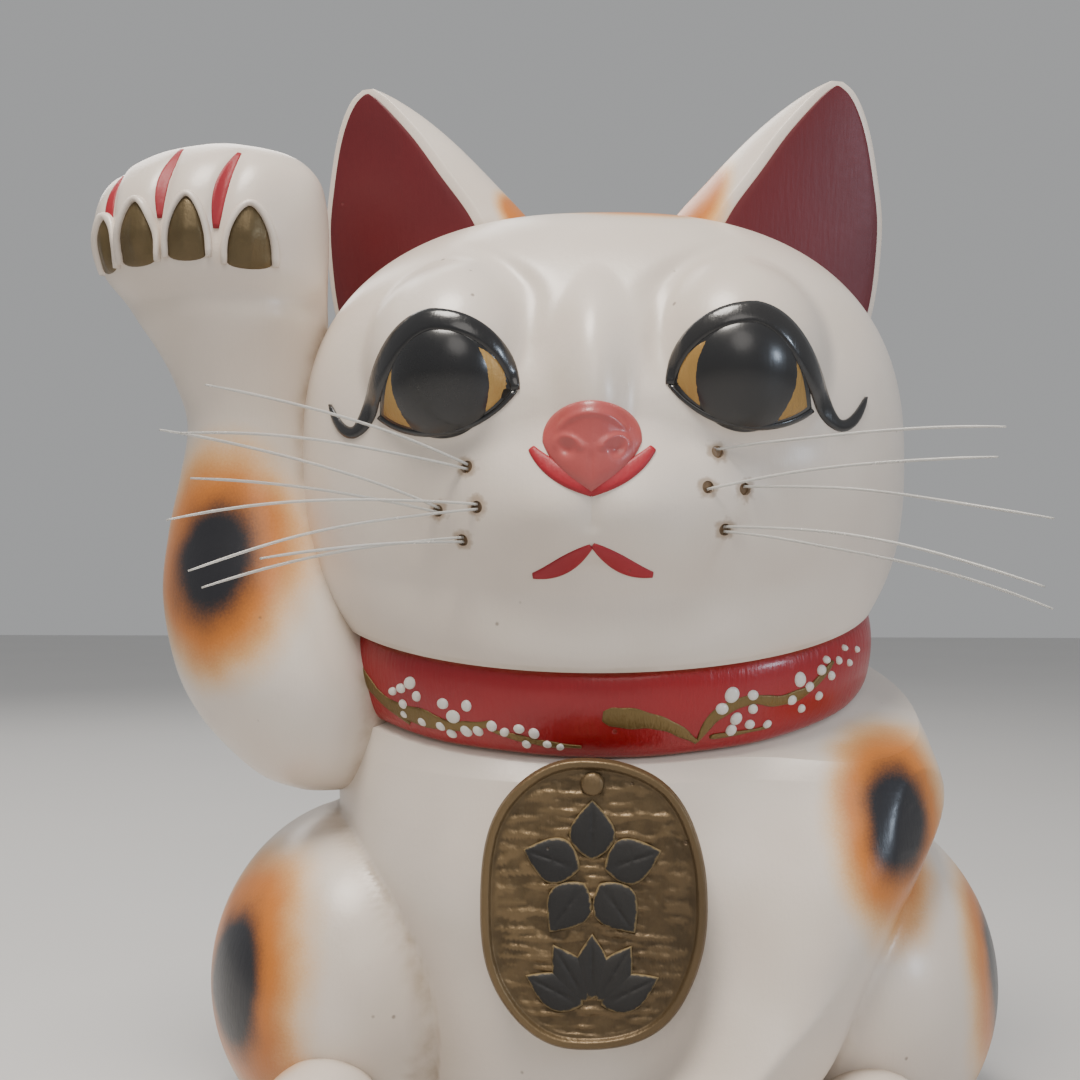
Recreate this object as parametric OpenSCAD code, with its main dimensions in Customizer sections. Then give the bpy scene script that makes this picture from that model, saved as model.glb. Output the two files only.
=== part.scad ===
// Beckoning cat figurine: slip-cast members luted together, painted, on a flat base.
// Frame: origin at the middle of the resting face, +Z up, the cat faces -Y.
// "Right" and "left" are the cat's own, so the raised right arm stands on the -X side.

/* [Head] */
// Half width of the head
head_half_w = 87; // [84:0.5:89]
// Height of the head's centre
head_z = 185; // [184:0.5:186]
// Height of the crown above the head's centre
crown_h = 71; // [69:0.5:73]
// Depth of the face in front of the head's centre
face_d = 70; // [68:0.5:72]
// Thickness of the cast walls
wall = 4; // [3.5:0.1:4.5]

/* [Neck and collar] */
// Forward lean of the neck
neck_tilt = 17; // [16:0.5:18]
// Half width of the neck
neck_w = 70; // [69:0.5:71]
// Half depth of the neck
neck_d = 56; // [55:0.5:57]
// Height of the collar band
collar_h = 24.5; // [24:0.5:25]
// Thickness of the collar band
collar_t = 8.5; // [8:0.25:9]

/* [Medallion] */
// Width of the medallion
medal_w = 57; // [55:1:58]
// Height of the medallion
medal_h = 72; // [70:1:73]
// Thickness of the medallion's field
medal_t = 4; // [3.5:0.5:4.5]

/* [Base] */
// Radius of the base plate
base_r = 53; // [51:0.5:54]
// Thickness of the base plate
base_t = 5; // [5:0.5:6]
// Radius of the filling hole
hole_r = 14; // [12:0.5:15]
// Radial clearance between the stopper and its hole
stopper_gap = 0.05; // [0.02:0.01:0.08]

/* [Whiskers] */
// Radius of a nylon bristle
bristle_r = 0.38; // [0.3:0.02:0.45]
// Radius of a drilled whisker hole
whisker_hole_r = 1.6; // [1.5:0.05:1.8]

/* [Hidden] */

// Points round a ring, and rings up a wall, of the big cast members
ROUND = 48;
STEPS = 22;
HEAD_C = [0, -8, head_z];
NECK_C = [0, -3.7, 133.8];
CHIN_H = 80;
BACK_D = 66;
SIDE_POWER = 2.45;
DEPTH_POWER = 2.2;
// Levels along the neck's axis, from the neck plane
LEDGE = collar_h / 2 + 0.6;
BAND = collar_h / 2;
FILL_Y = 24;
MEDAL_TILT = -4;
MEDAL_C = [0, -75.5, 70.2];
MEDAL_RIM = 2.6;
GAP = 0.05;

// Cross sections from the base up: [z, left x, right x, front y, back y]
TORSO = [[0.8, -58, 58, -62, 64], [6, -62, 62, -66, 74], [20, -64, 64, -70, 80],
         [45, -68, 68, -74, 81], [72, -76, 76, -75, 77], [95, -77, 77, -69, 70]];
ARM = [[90.5, -87, -72, -24, -10], [94, -97, -62, -34, 4], [101, -106, -56, -42, 14],
       [112, -116, -52, -48, 22], [126, -123, -54, -51, 26], [146, -127, -62, -49, 26],
       [164, -125.5, -70, -45, 22], [180, -122, -75, -42, 16], [195, -119.5, -77, -41, 12],
       [207, -122.5, -78, -43, 8], [218, -128, -78, -46, 5], [228, -135, -78, -50, 3],
       [237, -141, -77.5, -53, 2], [247, -143.5, -77, -54, 1], [257, -142, -77.5, -52, -2],
       [265, -136, -80, -47, -6], [271, -127, -87, -40, -12], [274.6, -115, -100, -30, -20]];
FORELEG = [[0, 20, 48, -92, -58], [7, 15, 52.5, -95, -54], [18, 17, 53, -92, -48],
           [30, 24, 62, -86, -40], [45, 28, 70, -80, -32], [60, 32, 78, -76, -26],
           [76, 36, 87, -71, -18], [92, 40, 94, -64, -8], [106, 44, 91, -56, 0],
           [118, 50, 84, -44, 4], [126, 58, 76, -30, 0]];

// ---------- curves and surfaces ----------

function mix(a, b, t) = a + (b - a) * t;
function clamp01(t) = min(1, max(0, t));
function smooth(t) = let (c = clamp01(t)) c * c * (3 - 2 * c);
// Cubic through the middle two of four values
function cubic(a, b, c, d, t) =
    b + t * ((c - a) / 2 + t * (a - 2.5 * b + 2 * c - 0.5 * d + t * (1.5 * (b - c) + (d - a) / 2)));
// A row of a table at the place s, from 0 at the first row to 1 at the last
function row_at(rows, s) =
    let (n = len(rows) - 1, f = clamp01(s) * n, i = min(n - 1, floor(f)), t = f - i)
    [for (k = [0 : len(rows[0]) - 1])
        cubic(rows[max(0, i - 1)][k], rows[i][k], rows[i + 1][k], rows[min(n, i + 2)][k], t)];
function bezier(p, q, r, s, n) =
    [for (i = [0 : n]) let (t = i / n, u = 1 - t)
        u * u * u * p + 3 * u * u * t * q + 3 * u * t * t * r + t * t * t * s];
function pow_abs(x, p) = pow(abs(x), p);

// Side faces between rings of n points, with the row of the first ring at k
function skin(rows, n, k = 0) =
    [for (j = [k : k + rows - 2]) for (i = [0 : n - 1]) let (m = (i + 1) % n)
        [j * n + i, (j + 1) * n + i, (j + 1) * n + m, j * n + m]];

// Closed solid through a stack of rings, capped by its first and last ring
module loft(rings) {
    n = len(rings[0]);
    last = len(rings) - 1;
    bottom = [for (i = [0 : n - 1]) i];
    top = [for (i = [n - 1 : -1 : 0]) last * n + i];
    polyhedron([for (ring = rings) each ring], concat([bottom], skin(last + 1, n), [top]), convexity = 6);
}

// Closed solid through rings whose last ring joins the first
module hoop(rings) {
    n = len(rings[0]);
    m = len(rings);
    faces = [for (j = [0 : m - 1]) for (i = [0 : n - 1]) let (a = (i + 1) % n, b = (j + 1) % m)
        [j * n + i, b * n + i, b * n + a, j * n + a]];
    polyhedron([for (ring = rings) each ring], faces, convexity = 6);
}

// One level ring from a row [z, left, right, front, back], moved out by grow
function level_ring(row, grow, n) =
    let (cx = (row[1] + row[2]) / 2, cy = (row[3] + row[4]) / 2,
         a = (row[2] - row[1]) / 2 + grow, b = (row[4] - row[3]) / 2 + grow)
    [for (i = [0 : n - 1]) let (u = 360 * i / n) [cx + a * cos(u), cy + b * sin(u), row[0]]];

module column(rows, grow = 0, n = 32, steps = 22) {
    rings = [for (j = [0 : steps]) level_ring(row_at(rows, j / steps), grow, n)];
    loft(rings);
}

// Ellipsoid with its poles up and down
module egg(centre, half, n = 32, rows = 16) {
    rings = [for (j = [1 : rows - 1]) let (v = -90 + 180 * j / rows)
        [for (i = [0 : n - 1]) let (u = 360 * i / n)
            centre + [half[0] * cos(v) * cos(u), half[1] * cos(v) * sin(u), half[2] * sin(v)]]];
    loft(rings);
}

// ---------- neck frame ----------

function lean(p) = [p[0], p[1] * cos(neck_tilt) - p[2] * sin(neck_tilt),
                    p[1] * sin(neck_tilt) + p[2] * cos(neck_tilt)];
function neck_point(u, a, b, level) = NECK_C + lean([a * cos(u), b * sin(u), level]);
function neck_ring(a, b, level) = [for (i = [0 : ROUND - 1]) neck_point(360 * i / ROUND, a, b, level)];
EDGE_W = neck_w + collar_t;
EDGE_D = neck_d + collar_t;

// ---------- head ----------

// Distance from the head's centre to the plain oval in the direction d
function oval_radius(d) =
    let (c = d[2] > 0 ? crown_h : CHIN_H, b = d[1] < 0 ? face_d : BACK_D,
         side = pow(pow_abs(d[0] / head_half_w, SIDE_POWER) + pow_abs(d[2] / c, SIDE_POWER), 1 / SIDE_POWER))
    pow(pow(side, DEPTH_POWER) + pow_abs(d[1] / b, DEPTH_POWER), -1 / DEPTH_POWER);
// Far crossing of the ray d with an ellipsoid at e with half axes h, or 0 where it misses
function bump_radius(d, e, h) =
    let (dn = [d[0] / h[0], d[1] / h[1], d[2] / h[2]], en = [e[0] / h[0], e[1] / h[1], e[2] / h[2]],
         a = dn * dn, b = dn * en, k = b * b - a * (en * en - 1))
    k > 0 ? (b + sqrt(k)) / a : 0;
// Larger of two radii, rounded where they are within k of each other
function soft_max(a, b, k) = let (h = max(0, k - abs(a - b)) / k) max(a, b) + h * h * k / 4;
function head_radius(d) =
    let (eye_r = bump_radius(d, [-36, -38, 22], [27, 36, 30]),
         eye_l = bump_radius(d, [36, -38, 22], [27, 36, 30]),
         bridge = bump_radius(d, [0, -42, 14], [13.5, 34, 34]),
         muzzle = bump_radius(d, [0, -36, -14], [46, 39, 26]))
    soft_max(soft_max(soft_max(soft_max(oval_radius(d), eye_r, 3), eye_l, 3), bridge, 5), muzzle, 12);
function head_dir(u, v) = lean([sin(v) * cos(u), sin(v) * sin(u), cos(v)]);
// Polar angle and length from the head's centre to the collar's top edge
function seat(u) = neck_point(u, EDGE_W, EDGE_D, LEDGE) - HEAD_C;
function seat_angle(u) = let (p = seat(u)) acos(p * head_dir(0, 0) / norm(p));
function seat_turn(u) = let (p = seat(u), q = p - (p * head_dir(0, 0)) * head_dir(0, 0))
    atan2(q * head_dir(90, 90), q * head_dir(0, 90));
// Point of the head at the turn u and the share s of the way from crown to collar
function head_point(u, s, grow) =
    let (d = head_dir(seat_turn(u), seat_angle(u) * s), w = smooth((s - 0.8) / 0.2))
    HEAD_C + d * (mix(head_radius(d), norm(seat(u)), w) + grow);
function head_ring(s, grow) = [for (i = [0 : ROUND - 1]) head_point(360 * i / ROUND, s, grow)];

// The head without its cavity, grown all over by grow
module head_solid(grow = 0) {
    n = 24;
    skirt = [for (level = [-2, BAND]) neck_ring(neck_w, neck_d, level)];
    rings = concat(skirt, [for (j = [0 : n - 1]) head_ring(1 - j / n * 0.985, grow)]);
    loft(rings);
}
module head_body() {
    n = 24;
    m = 8;
    inner = [for (j = [1 : m]) head_ring(0.06 + 0.88 * j / m, -wall)];
    neck = [for (level = [BAND, 0]) neck_ring(neck_w - wall, neck_d - wall, level)];
    outer_neck = [for (level = [0, BAND]) neck_ring(neck_w, neck_d, level)];
    outer = [for (j = [0 : n - 1]) head_ring(1 - j / n * 0.985, 0)];
    loft(concat(inner, neck, outer_neck, outer));
}
module head() {
    color("ivory") resize([0, 0, 0]) difference() {
        head_body();
        for (h = WHISKER_HOLES) at_hole(h)
            cylinder(r = whisker_hole_r + GAP, h = 30, center = true, $fn = 14);
    }
}

// ---------- ears ----------

// Rows up the ear: [z, outer edge x, inner edge x, depth of the back]
EAR = [[222, -79, -21, 44], [234, -82, -24, 44], [246, -83.5, -29, 42], [258, -84, -34.8, 38],
       [270, -82.5, -43.5, 31], [281, -80.5, -51.5, 23], [289, -78, -58.5, 16], [294.5, -75, -64, 8],
       [297.3, -71.5, -68, 2]];
// Turn of the flat front, and of the ridge of the back, away from straight ahead
EAR_TURN = 25;
EAR_BACK = 52;
EAR_Y = -1;
// Thickness of the painted field
FIELD_T = 0.7;
// D-shaped ring: a flat front along the field and a rounded back
function ear_ring(row, n) =
    let (mid = (row[1] + row[2]) / 2, half = (row[2] - row[1]) / 2)
    [for (i = [0 : n - 1]) let (u = 360 * i / n, front = sin(u) < 0,
        x = half * cos(u), y = front ? half * 0.1 * sin(u) : row[3] * sin(u),
        t = front ? EAR_TURN : EAR_BACK)
        [mid + x + y * sin(t), EAR_Y - x * sin(EAR_TURN) * 0.9 + y * cos(t), row[0]]];
module ear_solid(n = 24, steps = 13) {
    loft([for (j = [0 : steps]) ear_ring(row_at(EAR, j / steps), n)]);
}
// The painted field stands on the flat front, inside its rim
module ear_field() {
    n = 14;
    outline = concat([for (j = [0 : n]) let (r = row_at(EAR, j / n)) [r[1] + 1.2, r[0] - j / n * 2]],
                     [for (j = [n : -1 : 0]) let (r = row_at(EAR, j / n)) [r[2] - 1.6, r[0] - j / n * 2]]);
    intersection() {
        translate([0, 60, 0]) rotate([90, 0, 0]) linear_extrude(120) polygon(outline);
        translate(-FIELD_T * [sin(EAR_TURN), cos(EAR_TURN), 0]) ear_solid();
    }
}
module right_ear() {
    color("ivory") resize([0, 0, 0]) difference() { ear_solid(); head_solid(); }
}
module left_ear() {
    color("ivory") resize([0, 0, 0]) difference() { mirror([1, 0, 0]) ear_solid(); head_solid(); }
}
module right_ear_lining() {
    color("darkred") resize([0, 0, 0]) difference() { ear_field(); ear_solid(); head_solid(); }
}
module left_ear_lining() {
    color("darkred") resize([0, 0, 0]) difference() {
        mirror([1, 0, 0]) ear_field();
        mirror([1, 0, 0]) ear_solid();
        head_solid();
    }
}

// ---------- torso and legs ----------

TORSO_STEPS = 14;
// Rings that lean from level at the base to the neck's lean at the collar
function torso_ring(s, grow) =
    let (row = row_at(TORSO, s / 0.75), t = smooth((s - 0.55) / 0.45), low = level_ring(row, grow, ROUND),
         high = neck_ring(EDGE_W + grow, EDGE_D + grow, -LEDGE))
    [for (i = [0 : ROUND - 1]) mix(low[i], high[i], t)];
module torso_solid() {
    outer = [for (j = [0 : TORSO_STEPS]) torso_ring(j / TORSO_STEPS, 0)];
    loft(concat(outer, [for (level = [-BAND, 2]) neck_ring(neck_w, neck_d, level)]));
}
module torso() {
    outer = [for (j = [0 : TORSO_STEPS]) torso_ring(j / TORSO_STEPS, 0)];
    collar_seat = [for (level = [-BAND, 0]) neck_ring(neck_w, neck_d, level)];
    throat = [for (level = [0, -BAND - wall]) neck_ring(neck_w - wall, neck_d - wall, level)];
    inner = [for (j = [6 : -1 : 1]) torso_ring(mix(0.1, 0.94, j / 6), -wall)];
    foot = [for (z = [base_t + 2, 0.8])
        [for (i = [0 : ROUND - 1]) let (u = 360 * i / ROUND) [base_r * cos(u), base_r * sin(u), z]]];
    color("ivory") resize([0, 0, 0]) hoop(concat(outer, collar_seat, throat, inner, foot));
}
// The plain oval slice that the collar takes up
module collar_room() { loft([for (level = [-LEDGE, LEDGE]) neck_ring(EDGE_W, EDGE_D, level)]); }
module above_floor() {
    translate([-200, -200, 0]) cube([400, 400, 400]);
}
module haunch_solid(side) {
    egg([side * 68, -4, 36], [45.5, 60, 50], 30, 15);
}
module haunch(side) {
    color("ivory") resize([0, 0, 0]) difference() {
        intersection() { haunch_solid(side); above_floor(); }
        torso_solid();
        // Room for the base plate
        translate([0, 0, -1]) cylinder(r = base_r, h = base_t, $fn = ROUND);
        if (side < 0) arm_solid();
        if (side > 0) foreleg_solid();
    }
}
module right_haunch() { haunch(-1); }
module left_haunch() { haunch(1); }
module foot_solid(side) {
    egg([side * 71, -68, 11], [16.5, 27, 15], 24, 12);
}
module hind_foot(side) {
    color("ivory") resize([0, 0, 0]) difference() {
        intersection() { foot_solid(side); above_floor(); }
        haunch_solid(side);
        torso_solid();
    }
}
module right_hind_foot() { hind_foot(-1); }
module left_hind_foot() { hind_foot(1); }
module arm_solid(grow = 0) { column(ARM, grow, 30, 26); }
module raised_right_arm() {
    color("ivory") resize([0, 0, 0]) difference() {
        arm_solid();
        head_solid();
        torso_solid();
        collar_room();
    }
}
module foreleg_solid() { column(FORELEG, 0, 22, 17); }
module left_foreleg() {
    color("ivory") resize([0, 0, 0]) difference() { foreleg_solid(); torso_solid(); collar_room(); }
}
// The tail lies round the back of the base and curls up at its tip
TAIL = [[20, 74, 16, 15], [2, 88, 17, 14.5], [-16, 92, 24, 13.5], [-28, 90, 37, 12.5],
        [-30, 86, 52, 11], [-24, 82, 64, 9], [-17, 79, 71, 5.5], [-13, 78, 73.5, 1.2]];
function tail_ring(s, n) =
    let (p = row_at(TAIL, s), q = row_at(TAIL, min(1, s + 0.01)), o = row_at(TAIL, max(0, s - 0.01)),
         f = [q[0] - o[0], q[1] - o[1], q[2] - o[2]], t = f / norm(f), a = cross(t, [0, 1, 0]),
         side = a / norm(a), up = cross(t, side))
    [for (i = [0 : n - 1]) let (u = 360 * i / n)
        [p[0], p[1], p[2]] + p[3] * (cos(u) * side + sin(u) * up)];
module tail() {
    color("ivory") resize([0, 0, 0]) difference() {
        loft([for (j = [0 : 18]) tail_ring(j / 18, 16)]);
        torso_solid();
        haunch_solid(-1);
        haunch_solid(1);
    }
}

// ---------- base ----------

module base_plate() {
    color("ivory") difference() {
        cylinder(r = base_r * cos(180 / ROUND) - GAP, h = base_t);
        translate([0, FILL_Y, -1]) cylinder(r = hole_r, h = base_t + 2);
    }
}
module stopper() {
    color("dimgray") translate([0, FILL_Y, 0.8]) difference() {
        cylinder(r = hole_r - stopper_gap, h = base_t + 3.2);
        // Finger recess with a pull bar across it
        difference() {
            translate([0, 0, -1]) cylinder(r = hole_r - 4, h = 4);
            translate([-hole_r, -2, -2]) cube([2 * hole_r, 4, 8]);
        }
    }
}

// ---------- collar ----------

// Cross section of the band: [outward, along the axis], rounded on the outside
function band_section(grow) = concat(
    [[0, -BAND]],
    [for (i = [0 : 6]) let (a = -90 + 180 * i / 6)
        [collar_t * 0.45 + (collar_t * 0.55 + grow) * pow_abs(cos(a), 0.8), BAND * sin(a)]],
    [[0, BAND]]);
module collar_solid(grow = 0) {
    section = band_section(grow);
    hoop([for (p = section) neck_ring(neck_w + p[0], neck_d + p[0], p[1])]);
}
module collar() { color("firebrick") resize([0, 0, 0]) collar_solid(); }
// A radial post through the band at the turn a from the front, at a level
module band_post(a, level, r, sides) {
    u = a - 90;
    multmatrix([[1, 0, 0, NECK_C[0]], [0, cos(neck_tilt), -sin(neck_tilt), NECK_C[1]],
                [0, sin(neck_tilt), cos(neck_tilt), NECK_C[2]]])
        translate([0, 0, level]) rotate([0, 0, u]) translate([45, 0, 0]) rotate([0, 90, 0])
            cylinder(r = r, h = 45, $fn = sides);
}
// A stroke from one [turn, level, half thickness] to the next
module band_stroke(from, to) {
    hull() for (p = [from, to]) band_post(p[0], p[1], p[2], 8);
}
// Gold branches: [turn, level, half thickness] down each stroke
BRANCHES = [[[-58, 2, 1.2], [-55, -2, 1.5], [-50, -4.5, 2], [-42, -5, 2.3], [-34, -5.5, 1.8], [-24, -3, 1.2]],
            [[-51.4, -4.3, 1.3], [-46, -8, 0.8]], [[-25, -4.6, 0.9], [-12, -7.4, 1], [-3, -8, 0.7]],
            [[2, 1, 2.6], [12, -0.5, 2.6], [18, -3, 1.6], [24, -8, 1.2]],
            [[24.3, -7.8, 1.3], [28, -1, 1.6], [36, 2, 1.4], [44, 0, 1.4], [52, 1, 1.2], [60, 6, 0.8]],
            [[26.6, -6.6, 0.95], [42, -7, 0.6]]];
module collar_branches() {
    color("darkgoldenrod") resize([0, 0, 0]) intersection() {
        difference() { collar_solid(0.5); collar_solid(); }
        for (stroke = BRANCHES) union() for (i = [0 : len(stroke) - 2])
            band_stroke(stroke[i], stroke[i + 1]);
    }
}
// Enamel dots: [turn, level, radius]
DOTS = [[-45, 4.2, 1.8], [-47.5, 2, 1.4], [-43, 1, 1.4], [-47, -2.4, 1.3], [-50, 0.4, 1.2], [-42, -6.2, 1.3],
        [-47, -5.4, 1.1], [-36, 0.6, 1.6], [-30, 1.2, 1.5], [-33.5, -2.6, 2], [-37, -6.2, 1.4],
        [-30.5, -6.2, 1.7], [-34.5, -7.9, 1.4], [-27.5, -5.6, 1.5], [-24, -3.6, 1.5], [-21, -5, 1.3],
        [-17.5, -3.6, 1.4], [-14, -4.6, 1.5], [-16, -8, 1.3], [-11, -7.6, 1.2], [-8, -8.2, 1.1],
        [32, 4.2, 2.1], [37, 3.2, 1.5], [29.5, 0.8, 1.7], [33, -2.6, 1.7], [37, -0.6, 1.4],
        [36.5, -5, 1.4], [32, -5.8, 1.6], [41, -6, 1.2], [49.5, 4.4, 2], [47, -0.6, 1.5], [52, 1.6, 1.4],
        [50, -4, 1.2], [55, -2, 1.2], [56, 5, 1.5], [59, 2.4, 1.3], [58, 7.2, 1.1], [62, 5.6, 1.1],
        [66, 3.4, 1], [65, 8, 0.9], [70, 5.6, 0.9]];
module collar_blossoms() {
    color("white") resize([0, 0, 0]) intersection() {
        difference() { collar_solid(1.1); collar_solid(0.55); }
        for (d = DOTS) band_post(d[0], d[1], d[2], 7);
    }
}

// ---------- medallion ----------

function koban(w, h, n = 56) = [for (i = [0 : n - 1]) let (u = 360 * i / n)
    [w / 2 * sign(cos(u)) * pow_abs(cos(u), 0.86), h / 2 * sign(sin(u)) * pow_abs(sin(u), 0.86)]];
// Turns drawings so that their z axis points out of the chest
module on_chest() {
    translate(MEDAL_C) rotate([90 + MEDAL_TILT, 0, 0]) children();
}
module medallion() {
    color("darkgoldenrod") resize([0, 0, 0]) difference() {
        on_chest() {
            translate([0, 0, -10]) linear_extrude(10 + medal_t) polygon(koban(medal_w, medal_h));
            linear_extrude(medal_t + 1.2) difference() {
                polygon(koban(medal_w, medal_h));
                polygon(koban(medal_w - 2 * MEDAL_RIM, medal_h - 2 * MEDAL_RIM));
            }
        }
        torso_solid();
        collar_solid(1.2);
    }
}
module medallion_boss() {
    color("darkgoldenrod") on_chest() translate([0, medal_h / 2 - 6.5, medal_t]) cylinder(r = 3, h = 1.8);
}
function petal(l, w, n = 10) = concat(
    [for (i = [0 : n]) [l * i / n, w * sin(180 * pow(i / n, 0.8))]],
    [for (i = [n - 1 : -1 : 1]) [l * i / n, -w * sin(180 * pow(i / n, 0.8))]]);
// A five-petalled blossom over a fan of leaves
module medallion_sprig() {
    color("black") on_chest() translate([0, 0, medal_t]) linear_extrude(0.9) {
        for (i = [0 : 4]) translate([0, 7.5]) rotate(90 + 72 * i)
            translate([3.2, 0]) polygon(petal(15, 5.8));
        for (a = [-64, -32, 0, 32, 64]) translate([0, -26]) rotate(90 + a)
            translate([2.5, 0]) polygon(petal(16, 4.6));
    }
}

// ---------- face ----------

// Extrudes drawings of the face, in [x, z], forward through the front of the head
module through_face() {
    translate([0, -40, 0]) rotate([90, 0, 0]) linear_extrude(80) children();
}
module face_layer(from, to) {
    resize([0, 0, 0]) intersection() {
        difference() { head_solid(to); head_solid(from); }
        through_face() children();
    }
}
module both_sides() {
    children();
    mirror([1, 0, 0]) children();
}
// The right eye: its corners, lids and the flick of the upper lid
EYE_IN = [-19.5, 199.5];
EYE_OUT = [-56, 193.5];
PUPIL = [-38.4, 200.8];
PUPIL_R = 13.2;
module eye_shape() {
    polygon(concat(bezier(EYE_IN, [-21, 211], [-30, 219.5], [-41, 219.5], 8),
                   bezier([-41, 219.5], [-55, 217], [-56, 196], [-64.5, 193.5], 7),
                   bezier([-64.5, 193.5], [-67, 193.2], [-69, 195], [-71, 198], 3),
                   bezier([-71, 196.6], [-68, 191.4], [-62, 189.5], EYE_OUT - [0, 1], 4),
                   bezier(EYE_OUT - [0, 1], [-47, 185.6], [-30, 186.4], EYE_IN, 8)));
}
module eye_white() {
    polygon(concat(bezier(EYE_IN + [-1.6, -0.6], [-23, 208], [-31, 213], [-40, 213], 6),
                   bezier([-40, 213], [-50, 210.5], [-52, 200.5], EYE_OUT + [1.5, 0.4], 6),
                   bezier(EYE_OUT + [1.5, 0.4], [-46, 187.6], [-31, 188], EYE_IN + [-1.6, -0.6], 6)));
}
module eye_outlines() { color("black") face_layer(0, 0.4) both_sides() eye_shape(); }
module eye_golds() {
    color("goldenrod") face_layer(0.4, 0.7) both_sides() difference() {
        eye_white();
        translate(PUPIL) circle(r = PUPIL_R + 0.6, $fn = 28);
    }
}
module pupils() {
    color("black") face_layer(0.4, 1) both_sides() translate(PUPIL) circle(r = PUPIL_R, $fn = 26);
}
NOSE_C = [0, 184.8];
module nose_outline() {
    both_sides() polygon(concat(
        bezier(NOSE_C + [-0.5, 11], NOSE_C + [8, 11], NOSE_C + [13, 7], NOSE_C + [12.5, 1], 6),
        bezier(NOSE_C + [12.5, 1], NOSE_C + [10, -6], NOSE_C + [3, -10], NOSE_C + [-0.5, -12], 6)));
}
module nose() { color("indianred") face_layer(0, 2.4) nose_outline(); }
module nose_fold() {
    color("firebrick") face_layer(0, 0.8) difference() {
        both_sides() polygon(concat(bezier([-0.5, 172.3], [5, 174.3], [11, 178.8], [15, 182.3], 6),
                                    [[13.6, 184.8]],
                                    bezier([12.5, 183.8], [10, 180.8], [4, 177.3], [-0.5, 176.3], 5)));
        nose_outline();
    }
}
module lips() {
    color("firebrick") face_layer(0, 0.6) both_sides()
        polygon(concat(bezier([0.4, 160], [4, 158], [9, 155.5], [16, 151.6], 5),
                       bezier([16, 151.2], [9, 149], [4, 153.2], [0.4, 158], 5)));
}

// ---------- raised paw ----------

module on_paw(from, to) {
    resize([0, 0, 0]) intersection() {
        difference() { arm_solid(to); arm_solid(from); }
        translate([0, -20, 0]) rotate([90, 0, 0]) linear_extrude(50) children();
    }
}
// Claws: [x, z of the flat lower end, half width, height]
CLAWS = [[-136.4, 234.2, 3.4, 15], [-124.6, 236.2, 5.2, 17.5],
         [-110.4, 237, 5.2, 17.5], [-94.2, 235.2, 5.6, 17]];
module paw_claws() {
    color("darkgoldenrod") on_paw(0, 1.6) for (c = CLAWS) translate([c[0], c[1]])
        polygon(concat([[-c[2], 0], [c[2], 0]],
                       bezier([c[2], 2], [c[2], c[3] * 0.6], [c[2] * 0.4, c[3]], [0, c[3]], 5),
                       bezier([0, c[3]], [-c[2] * 0.4, c[3]], [-c[2], c[3] * 0.6], [-c[2], 2], 5)));
}
module paw_toe_lines() {
    color("firebrick") on_paw(0, 0.5) {
        polygon([[-133, 264], [-134.2, 256], [-132.8, 246], [-131, 240], [-130.8, 246], [-132, 256]]);
        polygon([[-116.4, 269], [-119, 260], [-119.2, 250], [-117.4, 250], [-116.6, 259]]);
        polygon([[-99.8, 267.5], [-103, 258], [-103, 247], [-101, 247], [-98.6, 258]]);
    }
}
module foot_toe_lines() {
    color("firebrick") resize([0, 0, 0]) difference() {
        intersection() {
            for (side = [-1, 1]) egg([side * 71, -68, 11], [17, 27.5, 15.5], 24, 12);
            for (side = [-1, 1]) for (x = [66, 76]) translate([side * x - 0.8, -99, 5]) cube([1.6, 22, 20]);
        }
        foot_solid(1);
        foot_solid(-1);
    }
}

// ---------- whiskers ----------

// Drilled holes: [x, z]; the right cheek's four, then the left cheek's four
WHISKER_HOLES = [[-31, 180], [-38, 169.5], [-27.5, 170.5], [-31.5, 162.5],
                 [31, 183.5], [27.5, 175], [37, 174.5], [31.5, 165]];
// Depth of the glue below the mouth of its hole
GLUE_DEPTH = 1;
function cheek_dir(h) = let (up = h[1] - head_z,
    share = 1 - pow(h[0] / head_half_w, 2) - pow(up / CHIN_H, 2),
    p = [h[0], -face_d * sqrt(share), up]) p / norm(p);
function hole_mouth(h) = HEAD_C + cheek_dir(h) * head_radius(cheek_dir(h));
// Puts +Z along the hole's axis, pointing out of the cheek, with its origin at the mouth
module at_hole(h) {
    d = cheek_dir(h);
    translate(hole_mouth(h)) rotate([0, acos(d[2]), atan2(d[1], d[0])]) children();
}
// Bristles: [hole, heading out from the front, rise, length, radius of the bend]
RIGHT_BRISTLES = [[0, 61, 22, 70, 260], [0, 61, 12, 74, 320], [1, 62, 22, 74, 260], [1, 65, 13, 64, 300],
                  [2, 66, 4, 78, 300], [2, 68, -5, 74, 300], [3, 64, -4, 68, 300], [3, 46, 0, 60, 400]];
LEFT_BRISTLES = [[4, 68, 8, 72, 400], [5, 69, 11, 72, 340], [6, 63, -1, 78, 400],
                 [7, 64, -5, 84, 300], [7, 62, -1, 82, 260]];
// Bristles that share a hole start apart by this much in height
ROOT_STEP = 1.2;
module bristle(b, side, turn) {
    arc = b[3] / b[4] * 180 / PI;
    out = cheek_dir(WHISKER_HOLES[b[0]]);
    root = hole_mouth(WHISKER_HOLES[b[0]]) - (GLUE_DEPTH - bristle_r) * out;
    translate(root + [0, 0, (0.5 - turn % 2) * ROOT_STEP])
        rotate([0, 0, -90 + side * b[1]]) rotate([0, -b[2], 0]) rotate([-90, 0, 0]) rotate([0, 0, -90])
        translate([-b[4], 0, 0]) rotate_extrude(angle = arc, $fn = 96)
        translate([b[4], 0]) circle(r = bristle_r, $fn = 16);
}
module bunch(rows, side) {
    color("whitesmoke") for (i = [0 : len(rows) - 1]) bristle(rows[i], side, i);
}
module right_whiskers() { bunch(RIGHT_BRISTLES, -1); }
module left_whiskers() { bunch(LEFT_BRISTLES, 1); }
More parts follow.
